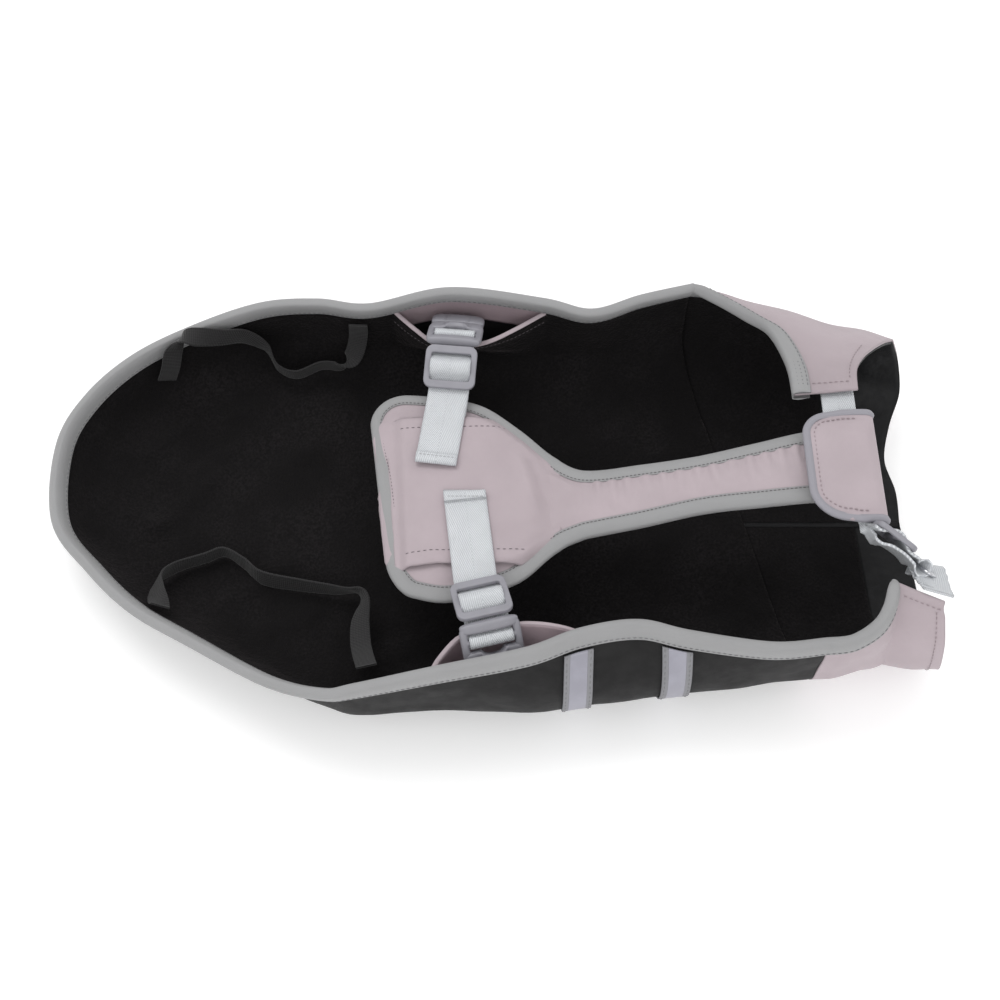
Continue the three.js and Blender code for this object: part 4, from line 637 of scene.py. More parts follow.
# fleece lining, with the two buckle pockets standing away from the shell
pockets = {  # open: x on the rim, and how far the pocket stands open there; level 1 keeps its lip level
    "far": {"open": [(-68, 0), (-63, 0.22), (-56, 0.5), (-48, 0.78), (-40, 0.95), (-28, 1), (-14, 0.93), (0, 0.77),
                     (14, 0.47), (27, 0.14), (33, 0)], "level": 0, "drop": 12, "facing": 7.9, "shown": 0.02},
    "near": {"open": [(-42, 0), (-38, 0.2), (-34, 0.44), (-23, 0.87), (-12, 1), (0, 1.04), (11, 1.02), (22, 0.95),
                      (33, 0.77), (44, 0.42), (50, 0.1), (53, 0)], "level": 1, "drop": 5, "facing": 6.8, "shown": 0.03},
}
pocketReach, pocketFull, pocketSwell = 78, 18, 29  # mm below the rim where it ends and is full; its depth

# how far that side's pocket stands open at each rib, and how far its lip has begun
def pocketOpen(s, rimX, side):
    pocket = pockets[side]
    here = (s < fanFrom) if side == "near" else (s > fanTo)
    table = np.array(pocket["open"], float)
    rows = np.linspace(0, len(table) - 1, 200)
    curve = curveAt(table, rows)
    opened = np.maximum(0, np.interp(rimX, curve[:, 0], curve[:, 1], left=0, right=0))
    start, end = table[0, 0], table[-1, 0]
    begun = smooth((rimX - start + 6) / 6) * smooth((end + 6 - rimX) / 6)
    return opened * here, begun * here

liningFolds = [  # start and end on plan, width and height of the fleece's soft folds
    ((-232, -8), (-168, 62), 8, 4.4), ((-214, 36), (-150, 84), 7, 3.8), ((-238, 52), (-196, 96), 7, 3.6),
    ((-180, -52), (-128, -14), 9, 3.8), ((-150, 46), (-96, 92), 10, 3.2), ((40, 58), (96, 96), 10, 3.0),
    ((96, 40), (140, 92), 8, 3.2), ((110, -78), (168, -40), 9, 3.2), ((-96, -90), (-40, -70), 9, 3.0),
    ((-246, 20), (-206, 4), 6, 3.0), ((-196, 84), (-150, 108), 7, 3.0), ((-150, -70), (-104, -44), 8, 2.8),
]

def liningAt(s, share):  # middle of the fleece, share 0 at the floor's spine to 1 at its top edge
    rimX = alongRows(rimRows, s)[:, 0]
    states = [pocketOpen(s, rimX, side) for side in pockets]
    opened, begun = (sum(state[k] for state in states)[:, None] for k in (0, 1))
    drop = sum(state[0] * pockets[side]["drop"] for state, side in zip(states, pockets))[:, None]
    level = sum((state[0] > 0) * pockets[side]["level"] for state, side in zip(states, pockets))[:, None]
    top = 10.3 * begun + np.minimum(drop, 12)
    points, normals, depth = trough(s, lambda whole: whole + (top - whole) * share)
    swell = pocketSwell * opened * smooth((pocketReach - depth) / (pocketReach - pocketFull))
    away = normals.copy()  # the near pocket's lip stands out level from the flank
    away[..., 2] *= 1 - level * smooth((60 - depth) / 40)
    away = unit(away)
    x, y = points[..., 0], points[..., 1]
    soft = 0.9 * (softNoise(x, y, 34, 8) + 1) + 0.5 * (softNoise(x, y, 15, 9) + 1)
    soft = soft + sum(height * fold(x, y, start, end, width) for start, end, width, height in liningFolds)
    soft = soft * smooth((depth - 12 - top) / 22)
    middle = points + normals * (liningMiddle - soft)[..., None] - away * swell[..., None]
    if share.flat[0] == 0:  # both flanks meet in the same points along the spine
        middle[:, 0] = points[:, 0] + upright * (soft[:, :1] - liningMiddle)
    return middle, gridNormals(middle)

liningShares = np.concatenate([np.linspace(0, 0.5, 34), np.linspace(0.5, 1, 50)[1:]])
lining = {"thick": 1.5, "flat": (0.42, 0.47), "area": 0.142}
liningGrid, _ = liningAt(bodyShares, liningShares[None])
piece = weld(gridPiece("fleece_lining", liningGrid, fleece))
dressed(thickened(piece, lining["thick"]), ["lining", "pocket_wall_near", "pocket_wall_far"], "fleece",
        {"flat": lining["flat"], "area": lining["area"], "held": "laid", "rests_on": ["rain_shell"]})
print("shell and lining ready")

def section(path, normals, width, height, sides=10, power=2.0):  # rings round a path: flattened ovals
    tangent = unit(np.gradient(path, axis=0))
    aside = unit(np.cross(tangent, normals))
    normals = np.cross(aside, tangent)
    turn = np.linspace(0, 2 * np.pi, sides, endpoint=False)
    c, s = squarer(turn, 2 / power)
    return (path[:, None] + aside[:, None] * (c * width / 2)[None, :, None]
            + normals[:, None] * (s * height / 2)[None, :, None])

def tubePiece(name, path, normals, width, height, material, sides=10, power=2.0):
    return closedPiece(name, section(path, normals, width, height, sides, power), material)

# a row of sewn threads along a path: each a flattened capsule of five rings, riding on the cloth
def stitched(name, path, normals, material, pitch=3.2, length=2.3, wide=0.62, ride=0.12):
    far = travelled(path)
    count = max(2, int(far[-1] / pitch))
    at = (np.arange(count) + 0.5) * far[-1] / count
    pick = lambda values: resampled(values, far, at)
    tangent = unit(pick(np.gradient(path, axis=0)))
    up = unit(pick(np.broadcast_to(normals, path.shape)))
    aside = unit(np.cross(tangent, up))
    up = np.cross(aside, tangent)
    rings = np.array([  # place along the stitch, width, height
        (-0.5, 0.15, -0.3), (-0.36, 0.8, -0.05), (0.0, 1.0, 0.1), (0.36, 0.8, -0.05), (0.5, 0.15, -0.3)])
    turn = np.linspace(0, 2 * np.pi, 6, endpoint=False)
    steps = np.repeat(rings[:, 0] * length, 6)
    radius = np.repeat(rings[:, 1] * wide / 2, 6)
    lifts = np.repeat(rings[:, 2] * wide, 6) + ride
    sideways, upward = np.tile(np.cos(turn), 5) * radius, np.tile(np.sin(turn), 5) * radius + lifts
    points = (pick(path)[:, None] + tangent[:, None] * steps[None, :, None]
              + aside[:, None] * sideways[None, :, None] + up[:, None] * upward[None, :, None])
    a = np.arange(24).reshape(4, 6)
    b = np.roll(a, -1, axis=1)
    quads = np.stack([a, a + 6, b + 6, b], -1).reshape(-1, 4).tolist()
    one = quads + [list(range(6)), list(range(29, 23, -1))]
    faces = [[v + 30 * n for v in face] for n in range(count) for face in one]
    piece = turnedOut(meshPiece(name, points.reshape(-1, 3), faces, None, material))
    return dressed(piece, [], "binding")

# pocket facings, lips and their rolled edges
def openShares(side):
    s = bodyShares[(bodyShares < fanFrom) if side == "near" else (bodyShares > fanTo)]
    opened, _ = pocketOpen(s, alongRows(rimRows, s)[:, 0], side)
    return s[opened >= pockets[side]["shown"]]

for side in pockets:
    s = openShares(side)
    facingGrid, facingNormals, _ = trough(s, rowDepth(np.linspace(pockets[side]["facing"], 10, 26)[None]))
    facingGrid = facingGrid - facingNormals * 2.1
    piece = gridPiece(f"pocket_backing_{side}", facingGrid, pinkInside)
    dressed(thickened(piece, 1.0), [f"pocket_facing_{side}"], "pink",
            {"flat": (0.1, 0.055), "area": 0.0042, "held": "laid", "rests_on": ["rain_shell"]})
    lipGrid, lipNormals = liningAt(s, np.linspace(0.76, 1, 30)[None])
    edge, edgeNormal, way = lipGrid[:, -1], lipNormals[:, -1], unit(lipGrid[:, -1] - lipGrid[:, -2])
    piece = gridPiece(f"pocket_lip_cloth_{side}", lipGrid + lipNormals * 1.55, pinkInside)
    trim = tubePiece(f"pocket_edge_{side}", edge + edgeNormal * 0.6 + way * 0.2, way, 2.9, 1.4, pinkCloth, 12, 2.6)
    hem, hemNormals = lipGrid[:, -7], -lipNormals[:, -7]
    row = stitched(f"pocket_stitches_{side}", hem + hemNormals * 0.75, hemNormals, darkThread, 2.8, 1.9, 0.5)
    dressed(trim, [], "pink")
    dressed(thickened(piece, 1.0), [f"pocket_lip_{side}"], "pink",
            {"flat": (0.1, 0.04), "area": 0.003, "held": "laid", "rests_on": ["fleece_lining"],
             "with_pieces": [trim, row]})

# shoulders of the yoke
nearRimRows = np.array([
    (180, -105, 79, 1, 0.5, -12), (194, -105, 84, 0, 0.5, -16), (207, -98, 90, 4, 0.5, -26),
    (214, -88, 94, 12, 0.5, -34), (218, -76, 96, 22, 0.5, -40), (231, -80, 92, 20, 0.52, -34),
    (245, -84, 88, 18, 0.55, -28)], float)
tabCorner, nearSeam, nearSwell = 5, 14, 12  # ribs from the neck corner to the tab's corner and the yoke seam; mm

# points of the near shoulder at ribs k and rows r: the trough's ribs over a rim of its own, carried past
# the yoke seam to the neck, swelling as the cube of the share of the way there
def nearShoulder(k, r):
    tab, bound = k <= tabCorner, k > tabCorner
    rows = np.empty((len(k), 6))
    if tab.any():
        rows[tab] = alongRows(nearRimRows[4:], 1 - k[tab] / tabCorner)
    if bound.any():
        rows[bound] = alongRows(nearRimRows[:5], 1 - (k[bound] - tabCorner) / (nearSeam - tabCorner))
    share = (1 - k / nearSeam)[:, None]
    points, depth = onRibs(mixed(seamX + 0.3, napeX, share[:, 0]), rows, rowDepth(r[None]))
    swell = nearSwell * share ** 3 * np.sin(np.pi * np.clip(r[None] / 10 * 1.05, 0, 1))
    start = 0.3 * np.clip(1 - (nearSeam - k[:, None]) * 2, 0, 1) * r[None] / 10
    inward = np.broadcast_to(-0.3 * (1 - r[None] / 10), swell.shape)
    points = points + np.stack([swell + start, inward, 0 * swell], -1)
    ripple = 1.4 * softNoise(k[:, None] * 9, depth, 22, 12) * smooth((depth - 10) / 20)
    ripple = ripple * smooth((points[..., 2] - 6) / 20) * smooth((nearSeam - k[:, None]) / 2)
    points = points + gridNormals(points) * ripple[..., None]
    return points, gridNormals(points)

farLines = {  # x, y, z along the bound edge, the neck from the spine up, and the tab over the top
    "edge": [(121, 135, 90), (137, 122, 92), (151, 110, 93), (165, 97, 94), (173, 71, 96), (174, 47, 98)],
    "neck": [(254, 12, 0), (255, 36, 0), (251, 60, 0), (257, 86, 3), (264, 106, 14), (260, 117, 35), (252, 118, 56)],
    "top": [(252, 118, 56), (238, 100, 76), (222, 82, 89), (214, 67, 95), (212, 51, 97)],
}

# straight lines from the bound edge at share 0 to the neck at 1, rippled; rows past 10 go over the top
def farShoulder(shares, r):
    seam, _ = onRibs(np.array([seamX]), rimRows[-1:], rowDepth(r[r <= 10][None]))
    over = (r[r > 10] - 10) / 8
    edge = np.concatenate([seam[0], alongRows(farLines["edge"], over)])
    neck = np.concatenate([alongRows(farLines["neck"], r[r <= 10] / 10), alongRows(farLines["top"], over)])
    neck[:, 2] = np.maximum(0, neck[:, 2])
    across = neck - edge
    length = np.linalg.norm(across, axis=1)
    start = np.where(r <= 10, 0.3 / length, 0)
    share = start[None] + (1 - start[None]) * shares[:, None]
    points = edge[None] + across[None] * share[..., None]
    normals = gridNormals(points)
    away = smooth((share * length - 8) / 25) * smooth((points[..., 2] - 6) / 24)
    ripple = 1.5 * softNoise(points[..., 0], points[..., 1] + points[..., 2], 26, 14) * away
    points = points + normals * ripple[..., None]
    return points, gridNormals(points)

nearK = np.concatenate([np.linspace(0, tabCorner, 24), np.linspace(tabCorner, nearSeam, 44)[1:]])
rowsFine = np.concatenate([np.linspace(0, 9, 55), np.linspace(9, 10, 6)[1:]])
farR = np.concatenate([rowsFine, np.linspace(10, 18, 44)[1:]])
nearGrid, nearNormals = nearShoulder(nearK, rowsFine)
farGrid, farNormals = farShoulder(np.linspace(0, 1, 44), farR)
halves = {"near": (nearGrid, nearNormals), "far": (farGrid, farNormals)}
for side, flat, area in [("near", (0.19, 0.11), 0.0162), ("far", (0.3, 0.14), 0.0275)]:
    piece = gridPiece(f"shoulder_cloth_{side}", halves[side][0], pinkCloth)
    dressed(thickened(piece, shell["thick"], -1), [f"shoulder_{side}"], "pink",
            {"flat": flat, "area": area, "held": "laid"})

# fleece inside the shoulders and smooth facings inside the neck, short of the tabs' ends
for side, kind, ribs, flat, area in [
    ("near", "fleece", slice(19, None), (0.16, 0.08), 0.0104), ("near", "facing", slice(20), (0.17, 0.045), 0.0056),
    ("far", "fleece", slice(29), (0.29, 0.08), 0.0178), ("far", "facing", slice(28, None), (0.29, 0.04), 0.009),
]:
    grid, normals = (values[ribs, :-2] for values in halves[side])
    name, node, material, slot = {
        "fleece": (f"shoulder_fleece_{side}", f"shoulder_lining_{side}", fleece, "fleece"),
        "facing": (f"neck_lining_{side}", f"neck_facing_{side}", facing, "shell")}[kind]
    piece = gridPiece(name, grid + normals * liningMiddle, material)
    cut = {"flat": flat, "area": area, "held": "laid"}
    if name == "neck_lining_near":  # a rolled seam closes both halves along the spine
        seam = tubePiece("neck_seam", nearGrid[:, 0] + nearNormals[:, 0] * (liningMiddle - 0.8),
                         -nearNormals[:, 0], 3.4, 1.2, facing)
        cut["with_pieces"] = [dressed(seam, [], "shell")]
    dressed(thickened(piece, lining["thick"]), [node], slot, cut)

for name, ribs, rows in [
    ("near_tab", slice(1, 21), -4), ("near_neck", 4, slice(34, -4)),
    ("far_tab", slice(12, 39), -4), ("far_neck", 38, slice(-24, -4)),
]:
    line, lineNormals = (values[ribs, rows] for values in halves[name.split("_")[0]])
    stitched(f"{name}_stitches", line + lineNormals * 0.35, lineNormals, pinkThread, 3.2, 2.2, 0.55)
print("yoke ready")

# bindings: tape folded over an edge and sewn through
def boundSection(width, top, bottom, thick, puff):  # distances into the cloth and heights, round the folded tape
    middle, half = (top + bottom) / 2, (top - bottom) / 2 + thick
    turn = np.radians(np.linspace(78, -78, 9))
    rolled = np.stack([-1.7 * np.cos(turn) + 0.45, middle + half * np.sin(turn)], 1)
    leg = np.array([(1.0, 0.02), (0.95, 0.75), (0.84, 0.62), (0.72, 0.98), (0.5, 1.0 + puff), (0.25, 1.0 + puff)])
    upper = np.stack([leg[:, 0] * width, top + leg[:, 1] * thick], 1)
    lower = np.stack([leg[::-1, 0] * width, bottom - leg[::-1, 1] * thick], 1)
    inside = np.array([(0.5, bottom), (0.0, bottom), (-0.05, middle), (0.0, top), (0.5, top)]) * [width, 1]
    return np.concatenate([upper, rolled, lower, inside])

# that section at each frame of an edge; narrow is a share of the width at each frame
def boundRings(edge, into, edgeNormal, intoNormal, shape, narrow=None):
    wide = np.linalg.norm(into - edge, axis=1)[:, None, None]
    inward = unit(into - edge)
    d, h = shape[:, 0][None, :, None], shape[:, 1][None, :, None]
    if narrow is not None:
        d = np.where(d > 0, d * narrow[:, None, None], d)
    share = np.clip(d / wide, 0, 1)
    normal = unit(mixed(edgeNormal[:, None], intoNormal[:, None], share))
    return edge[:, None] + inward[:, None] * d + normal * h

def atDepth(edge, into, edgeNormal, intoNormal, depth, height):  # a line on the tape, and its normals
    inward = unit(into - edge)
    normal = unit(mixed(edgeNormal, intoNormal, 0.8))
    return edge + inward * depth + normal * height, normal

# frames of an edge: its points, the points inward at a depth, and both lines' normals
def edgeFrames(edge, normals, centre, depth, times):
    inward = unit(np.cross(normals, tangents(edge, times)))
    inward = inward * np.sign(np.sum(inward * (centre - edge), axis=1, keepdims=True))
    return [edge, edge + inward * depth, normals, normals]

def gridFrames(grid, normals, along, edgeAt, intoAt):  # the same from picked columns of a grid
    return [grid[along, edgeAt], grid[along, intoAt], normals[along, edgeAt], normals[along, intoAt]]

border = len(rowsFine) - 6  # row under the binding's border
nearPart = gridFrames(nearGrid, nearNormals, slice(23, -1), -1, border)
bodyPart = gridFrames(backGrid, backNormals, slice(None), -1, 48)
overTop = slice(len(rowsFine), None)
farBorder = farGrid[0] + unit(farGrid[8] - farGrid[0]) * boundDepth
farPart = [farGrid[0, overTop], farBorder[overTop], farNormals[1, overTop], farNormals[6, overTop]]
rimFrames = [np.concatenate(parts) for parts in zip(nearPart, bodyPart, farPart)]
for k in (2, 3):  # the tape's own turn is smoother than the cloth's
    for _ in range(3):
        rimFrames[k][1:-1] = unit(rimFrames[k][:-2] + rimFrames[k][1:-1] * 2 + rimFrames[k][2:])
rimTape = {"width": 10.0, "top": 0.6, "bottom": -3.7, "thick": 0.9, "puff": 0.55}
piece = closedPiece("rim_binding", boundRings(*rimFrames, boundSection(**rimTape)), bindingTape)
rows = []
for name, height, side in [("outside", 1.2, 1), ("inside", -4.3, -1)]:
    line, lineNormals = atDepth(*rimFrames, 8.4, height)
    rows.append(stitched(f"rim_stitches_{name}", line[2:-2], side * lineNormals[2:-2], greyThread))
for k, depth in enumerate((2.6, 5.4)):  # bar tacks across the far end of the tape
    line, lineNormals = atDepth(*(part[-11:-2] for part in rimFrames), depth, 1.55)
    rows.append(stitched(f"rim_tack_{k}", line, lineNormals, darkThread, 2.6, 1.4, 0.7))
dressed(piece, ["edge_binding"], "binding",
        {"flat": (0.026, 1.16), "held": "folded", "rests_on": ["rain_shell"], "with_pieces": rows})
print("rim bound")

# reflective strips on the flanks
fineShares = np.linspace(0, 1, 2001)
fineX = alongRows(rimRows, fineShares)[:, 0]
def shareAt(x, side):  # share of the rim where that side's rim crosses x
    part = fineShares < fanFrom if side == "near" else fineShares > fanTo
    order = np.argsort(fineX[part])
    return np.interp(x, fineX[part][order], fineShares[part][order])

strips = {"near_1": (35, 51), "near_2": (89, 106), "far_1": (35, 51), "far_2": (89, 106)}  # from x to x
for name, ends in strips.items():
    side, name = name.split("_")[0], f"strip_{name}"
    s = np.sort(np.linspace(*(shareAt(x, side) for x in ends), 13))
    points, normals, depth = trough(s, rowDepth(np.linspace(4.9, 8.93, 44)[None]))
    middle = points + normals * 1.1
    wide = travelled(middle[:, 22])
    u = np.broadcast_to((wide - wide[-1] / 2)[:, None], depth.shape)
    piece = gridPiece(f"reflective_{name}", middle, reflective, uv=np.stack([u, depth], -1))
    rows = [stitched(f"{name}_stitches_{k}", middle[k] + normals[k] * 0.5, normals[k], greyThread, 3.8, 2.6)
            for k in (1, 11)]
    dressed(thickened(piece, 1.0), [name], "reflective",
            {"flat": (0.0165, 0.096), "held": "laid", "rests_on": ["rain_shell"], "with_pieces": rows})
print("strips sewn")

# belly panel with its gathered strap
bellyRows = np.array([  # x, near edge, far edge, height of the middle
    (-78, -57, 75, 57), (-52, -64, 73, 59), (-32, -68, 70, 60), (-10, -64, 63, 61), (12, -55, 46, 61),
    (34, -36, 25, 62), (50, -28, 16, 63), (84, -23, 17, 68), (119, -18, 19, 75), (152, -17.5, 23.5, 82),
    (184, -17.5, 28, 88)], float)
belly = {"start": -77.0, "end": 184.0, "thick": 2.0, "corner": 21.0, "dense": 24.0, "gathered": 44.0}
bellyStart, bellyEnd, bellyCorner = belly["start"], belly["end"], belly["corner"]

def bellyColumns(x, station=None):  # near edge, far edge and height at any x; the corners are quarter circles
    rows = curveAt(bellyRows, np.interp(np.ravel(x), bellyRows[:, 0], np.arange(len(bellyRows))))
    near, far, z = (rows[:, k].reshape(np.shape(x)) for k in (1, 2, 3))
    short = np.clip(bellyCorner - ((x if station is None else station) - bellyStart), 0, bellyCorner)
    cut = bellyCorner - np.sqrt(bellyCorner ** 2 - short ** 2)
    return near + cut, far - cut, z

# middle of the panel at a station and a share q of its half width: its height falls by 3 q squared
def bellyPoint(station, q):
    fade = 1 - smooth((station - bellyStart) / 45)
    x = station + (4.5 - 6.5 * q) * fade
    near, far, z = bellyColumns(x, station)
    return np.stack([x, (near + far) / 2 + q * (far - near) / 2, z - 3 * q * q], -1)

def bellyHeight(x, y):  # of the panel's middle at a place on plan
    near, far, z = bellyColumns(np.array([x]))
    q = (y - (near + far) / 2) / ((far - near) / 2)
    return float((z - 3 * q * q)[0])

panelFolds = [  # start and end on plan, width and height of the panel's soft folds
    ((8, 34), (24, -22), 3.4, 1.3), ((16, 30), (31, -16), 2.8, -0.9), ((-50, -30), (-30, -52), 5, 0.8),
    ((2, -40), (30, -22), 4, 0.9), ((-48, 38), (-20, 56), 4, -0.7), ((24, 14), (52, 2), 3.2, 0.8),
]

def panelRelief(points, station, q):  # folds, crowning between the bindings and pleats under the far binding
    x, y = points[..., 0], points[..., 1]
    near, far, _ = bellyColumns(x)
    edge = np.minimum(far - y, y - near)
    inside = smooth((edge - 8.5) / 7)
    lifted = sum(height * fold(x, y, start, end, width) for start, end, width, height in panelFolds)
    lifted = lifted + 0.35 * softNoise(x, y, 17, 31) + 0.9 * inside * smooth((60 - x) / 40)
    turn = (x - 52) / 9.85 + 0.22 * softNoise(x, y * 0, 13, 32) + 0.012 * (y - 10)
    pleat = (0.5 - 0.5 * np.cos(2 * np.pi * turn)) ** 1.5
    strap = smooth((x - 48) / 8) * smooth((182 - x) / 8)
    reach = np.exp(-np.maximum(0, far - boundDepth - y) / 7.5) * smooth((far - 7 - y) / 3)
    soft = 0.55 * softNoise(x + y * 0.5, y * 0.3, 6.5, 33) + 0.45 * smooth(edge / 12)
    return inside * lifted + strap * (1.7 * pleat * reach + inside * soft)

denseEnd = bellyStart + belly["dense"]  # stations are closer at the corners and along the gathered strap
stations = np.concatenate([
    bellyStart + belly["dense"] * np.linspace(0, 1, 30) ** 2, np.linspace(denseEnd, belly["gathered"], 70)[1:],
    np.linspace(belly["gathered"], bellyEnd, 240)[1:]])
shares = np.sin(np.linspace(np.pi / 2, -np.pi / 2, 60))
shares = mixed(shares, np.linspace(1, -1, 60), 0.6)
panelGrid = bellyPoint(stations[:, None] + 0 * shares[None], shares[None] + 0 * stations[:, None])
panelNormals = gridNormals(panelGrid)
panelShaped = panelGrid + panelNormals * panelRelief(panelGrid, stations[:, None], shares[None])[..., None]
panel = thickened(gridPiece("belly_cloth", panelShaped, pinkCloth), belly["thick"])
dressed(panel, ["belly_panel"], "pink",
        {"flat": (0.14, 0.26), "area": 0.0182, "held": "hung", "rests_on": ["rim_binding"]})

outwards = bellyStart + (bellyEnd - bellyStart) * np.linspace(0, 1, 260)[1:] ** 2
around = [  # stations and shares up the far edge, across the end and down the near edge
    (outwards[::-1], np.ones(259)), (np.full(60, bellyStart), np.linspace(1, -1, 60)), (outwards, -np.ones(259))]
edgeLine = np.concatenate([bellyPoint(s, q) for s, q in around])
centreLine = np.concatenate([bellyPoint(np.maximum(s, denseEnd), 0.2 * q) for s, q in around])
far = travelled(edgeLine)
edgeLine, centreLine = (resampled(line, far, np.linspace(0, far[-1], 460)) for line in (edgeLine, centreLine))
bellyFrames = edgeFrames(edgeLine, np.broadcast_to(upright, edgeLine.shape), centreLine, boundDepth, 10)
bellyFrames[1][:, 2] = [bellyHeight(x, y) for x, y in bellyFrames[1][:, :2]]
panelTape = {"width": 9.4, "top": 1.3, "bottom": -1.3, "thick": 0.85, "puff": 0.5}
farSide = smooth((edgeLine[:, 1] - 8) / 30) * smooth((64 - edgeLine[:, 0]) / 50)
bellyNarrow = 0.93 - 0.24 * farSide
tape = closedPiece("panel_binding", boundRings(*bellyFrames, boundSection(**panelTape), bellyNarrow), bindingTape)
rows = []
for name, side in [("top", 1), ("under", -1)]:
    line, lineNormals = atDepth(*bellyFrames, 7.9 * bellyNarrow[:, None], 1.95 * side)
    rows.append(stitched(f"panel_stitches_{name}", line, side * lineNormals, darkThread, 2.4, 1.7, 0.5))
dressed(tape, ["belly_binding"], "binding",
        {"flat": (0.024, 0.64), "held": "folded", "rests_on": ["belly_cloth"], "with_pieces": rows})

# sleeve on the panel that holds the belly webbing
sleeve = {"from": -70.5, "to": 36.0, "near": -47.0, "far": 54.0, "lift": 3.4, "thick": 1.2,
          "sewn": {"far": (46.0, 4.0), "near": (-39.0, 15.0)}}  # each row's y, and the x where it ends

def sleeveEdges(station):  # its near and far hem, inside the panel's own edges
    near, far, _ = bellyColumns(station)
    return near, far, np.maximum(sleeve["near"], near + 7.6), np.minimum(sleeve["far"], far - 5.6)

# outer cloth, share 0 at the far hem to 1 at the near hem: the panel's point raised by a lift that grows
# smoothly from its ends and edges, dips at the hems and takes the panel's folds
def sleevePoint(station, share):
    near, far, low, high = sleeveEdges(station)
    y = mixed(high, low, share)
    q = (y - (near + far) / 2) / ((far - near) / 2)
    points = bellyPoint(station, q)
    edge = np.minimum(station - sleeve["from"], (sleeve["to"] - station) * 0.55)
    hem = np.minimum(share, 1 - share) * (high - low)
    side = np.minimum(points[..., 1] - near, far - points[..., 1])
    lift = 1.6 + (sleeve["lift"] + 0.3) * smooth((edge - 3) / 9) * smooth((side - 5) / 9)
    lift = lift - 1.2 * smooth((station - 26) / 9)
    lift = lift - 0.7 * np.exp(-(hem / 1.1) ** 2) + 0.25 * np.exp(-((hem - 4) / 2.4) ** 2)
    x, y = points[..., 0], points[..., 1]
    folds = sum(height * fold(x, y, start, end, width) for start, end, width, height in panelFolds)
    points[..., 2] += lift + 0.8 * folds + 0.3 * softNoise(x, y, 15, 35)
    return points

sleeveStations = np.linspace(sleeve["from"], sleeve["to"], 70)
sleeveGrid = sleevePoint(*np.meshgrid(sleeveStations, np.linspace(0, 1, 90), indexing="ij"))
piece = thickened(gridPiece("sleeve_cloth", sleeveGrid, pinkCloth), sleeve["thick"])
rows = []
for name, (y, end) in sleeve["sewn"].items():
    station = np.linspace(-62, end, 60)
    _, _, low, high = sleeveEdges(station)
    line = sleevePoint(station, np.clip((high - y) / (high - low), 0.02, 0.98)) + upright * 0.55
    rows.append(stitched(f"sleeve_stitches_{name}", line, upright, darkThread, 3.4, 2.2, 0.5))
dressed(piece, ["belly_sleeve"], "pink",
        {"flat": (0.1, 0.095), "area": 0.0083, "held": "laid", "rests_on": ["belly_cloth"], "with_pieces": rows})
print("belly panel ready")

# webbing
# a route with its corners rounded by parabolas, at even steps, with the width's direction
def rounded(stations, across, most=8.0):
    stations, across = np.asarray(stations, float), np.asarray(across, float)
    path, wide = [stations[:1]], [across[:1]]
    t = np.linspace(0, 1, 7)[:, None]
    for k in range(1, len(stations) - 1):
        before, after = stations[k - 1] - stations[k], stations[k + 1] - stations[k]
        r = min(most, 0.48 * np.linalg.norm(before), 0.48 * np.linalg.norm(after))
        a, b = stations[k] + unit(before) * r, stations[k] + unit(after) * r
        path.append(a * (1 - t) ** 2 + 2 * stations[k] * t * (1 - t) + b * t * t)
        wide.append(np.broadcast_to(across[k], (7, 3)))
    path, wide = np.concatenate(path + [stations[-1:]]), np.concatenate(wide + [across[-1:]])
    far = travelled(path)
    at = np.linspace(0, far[-1], max(8, int(far[-1] / 1.1)))
    return resampled(path, far, at), unit(resampled(wide, far, at))

# flat tape with soft selvedges along a path: u runs across it in mm, v along it
def ribbonPiece(name, path, across, width, thick, material):
    tangent = np.gradient(path, axis=0)
    tangent[1:-1] = tangent[:-2] + 2 * tangent[1:-1] + tangent[2:]
    tangent = unit(tangent)
    up = unit(np.cross(across, tangent))
    wide = unit(np.cross(tangent, up))
    u = np.concatenate([np.linspace(-1, 1, 13) * 0.975, [1.0, 1.0], np.linspace(1, -1, 13) * 0.975, [-1.0, -1.0]])
    u = u[None] * np.reshape(width, (-1, 1)) / 2
    w = np.concatenate([np.full(13, 1.0), [0.5, -0.5], np.full(13, -1.0), [-0.5, 0.5]]) * thick / 2
    rings = path[:, None] + wide[:, None] * u[..., None] + up[:, None] * w[None, :, None]
    wrap = np.concatenate([u, u[:, :1]], 1)
    uv = np.stack(np.broadcast_arrays(wrap, travelled(path)[:, None]), -1)
    return closedPiece(name, rings, material, uv)

def plateFrame(origin, way, distance, height, degrees):  # middle, along, normal and side of a tilted plate
    c, s = math.cos(math.radians(degrees)), math.sin(math.radians(degrees))
    flat = unit(np.array([*way, 0.0]))
    middle = origin + flat * distance + upright * height
    along = flat * c + upright * s
    normal = upright * c - flat * s
    return {"middle": middle, "along": along, "normal": normal, "side": unit(np.cross(along, normal))}

def onPlate(plate, along, above):
    return plate["middle"] + plate["along"] * along + plate["normal"] * above

# moulded plates
def roundedLoop(width, low, high, radius, count=6):  # corners of a rectangle rounded, anticlockwise
    turn = np.linspace(0, np.pi / 2, count)
    loops = []
    for x, y, start in [(width / 2, high, 0), (-width / 2, high, 1), (-width / 2, low, 2), (width / 2, low, 3)]:
        angle = turn + start * np.pi / 2
        middle = np.array([x - np.sign(x) * radius, y - (radius if y == high else -radius)])
        loops.append(middle + radius * np.stack([np.cos(angle), np.sin(angle)], 1))
    return np.concatenate(loops)

def archedLoop(width, low, high, half, rise):  # a window whose back edge bows out by an arch, clockwise
    x = np.linspace(-width / 2, width / 2, 41)
    back = high + rise * np.sqrt(np.clip(1 - (x / half) ** 2, 0, 1))
    return np.concatenate([np.stack([x, back], 1), np.stack([x[::-1], np.full(41, low)], 1)])

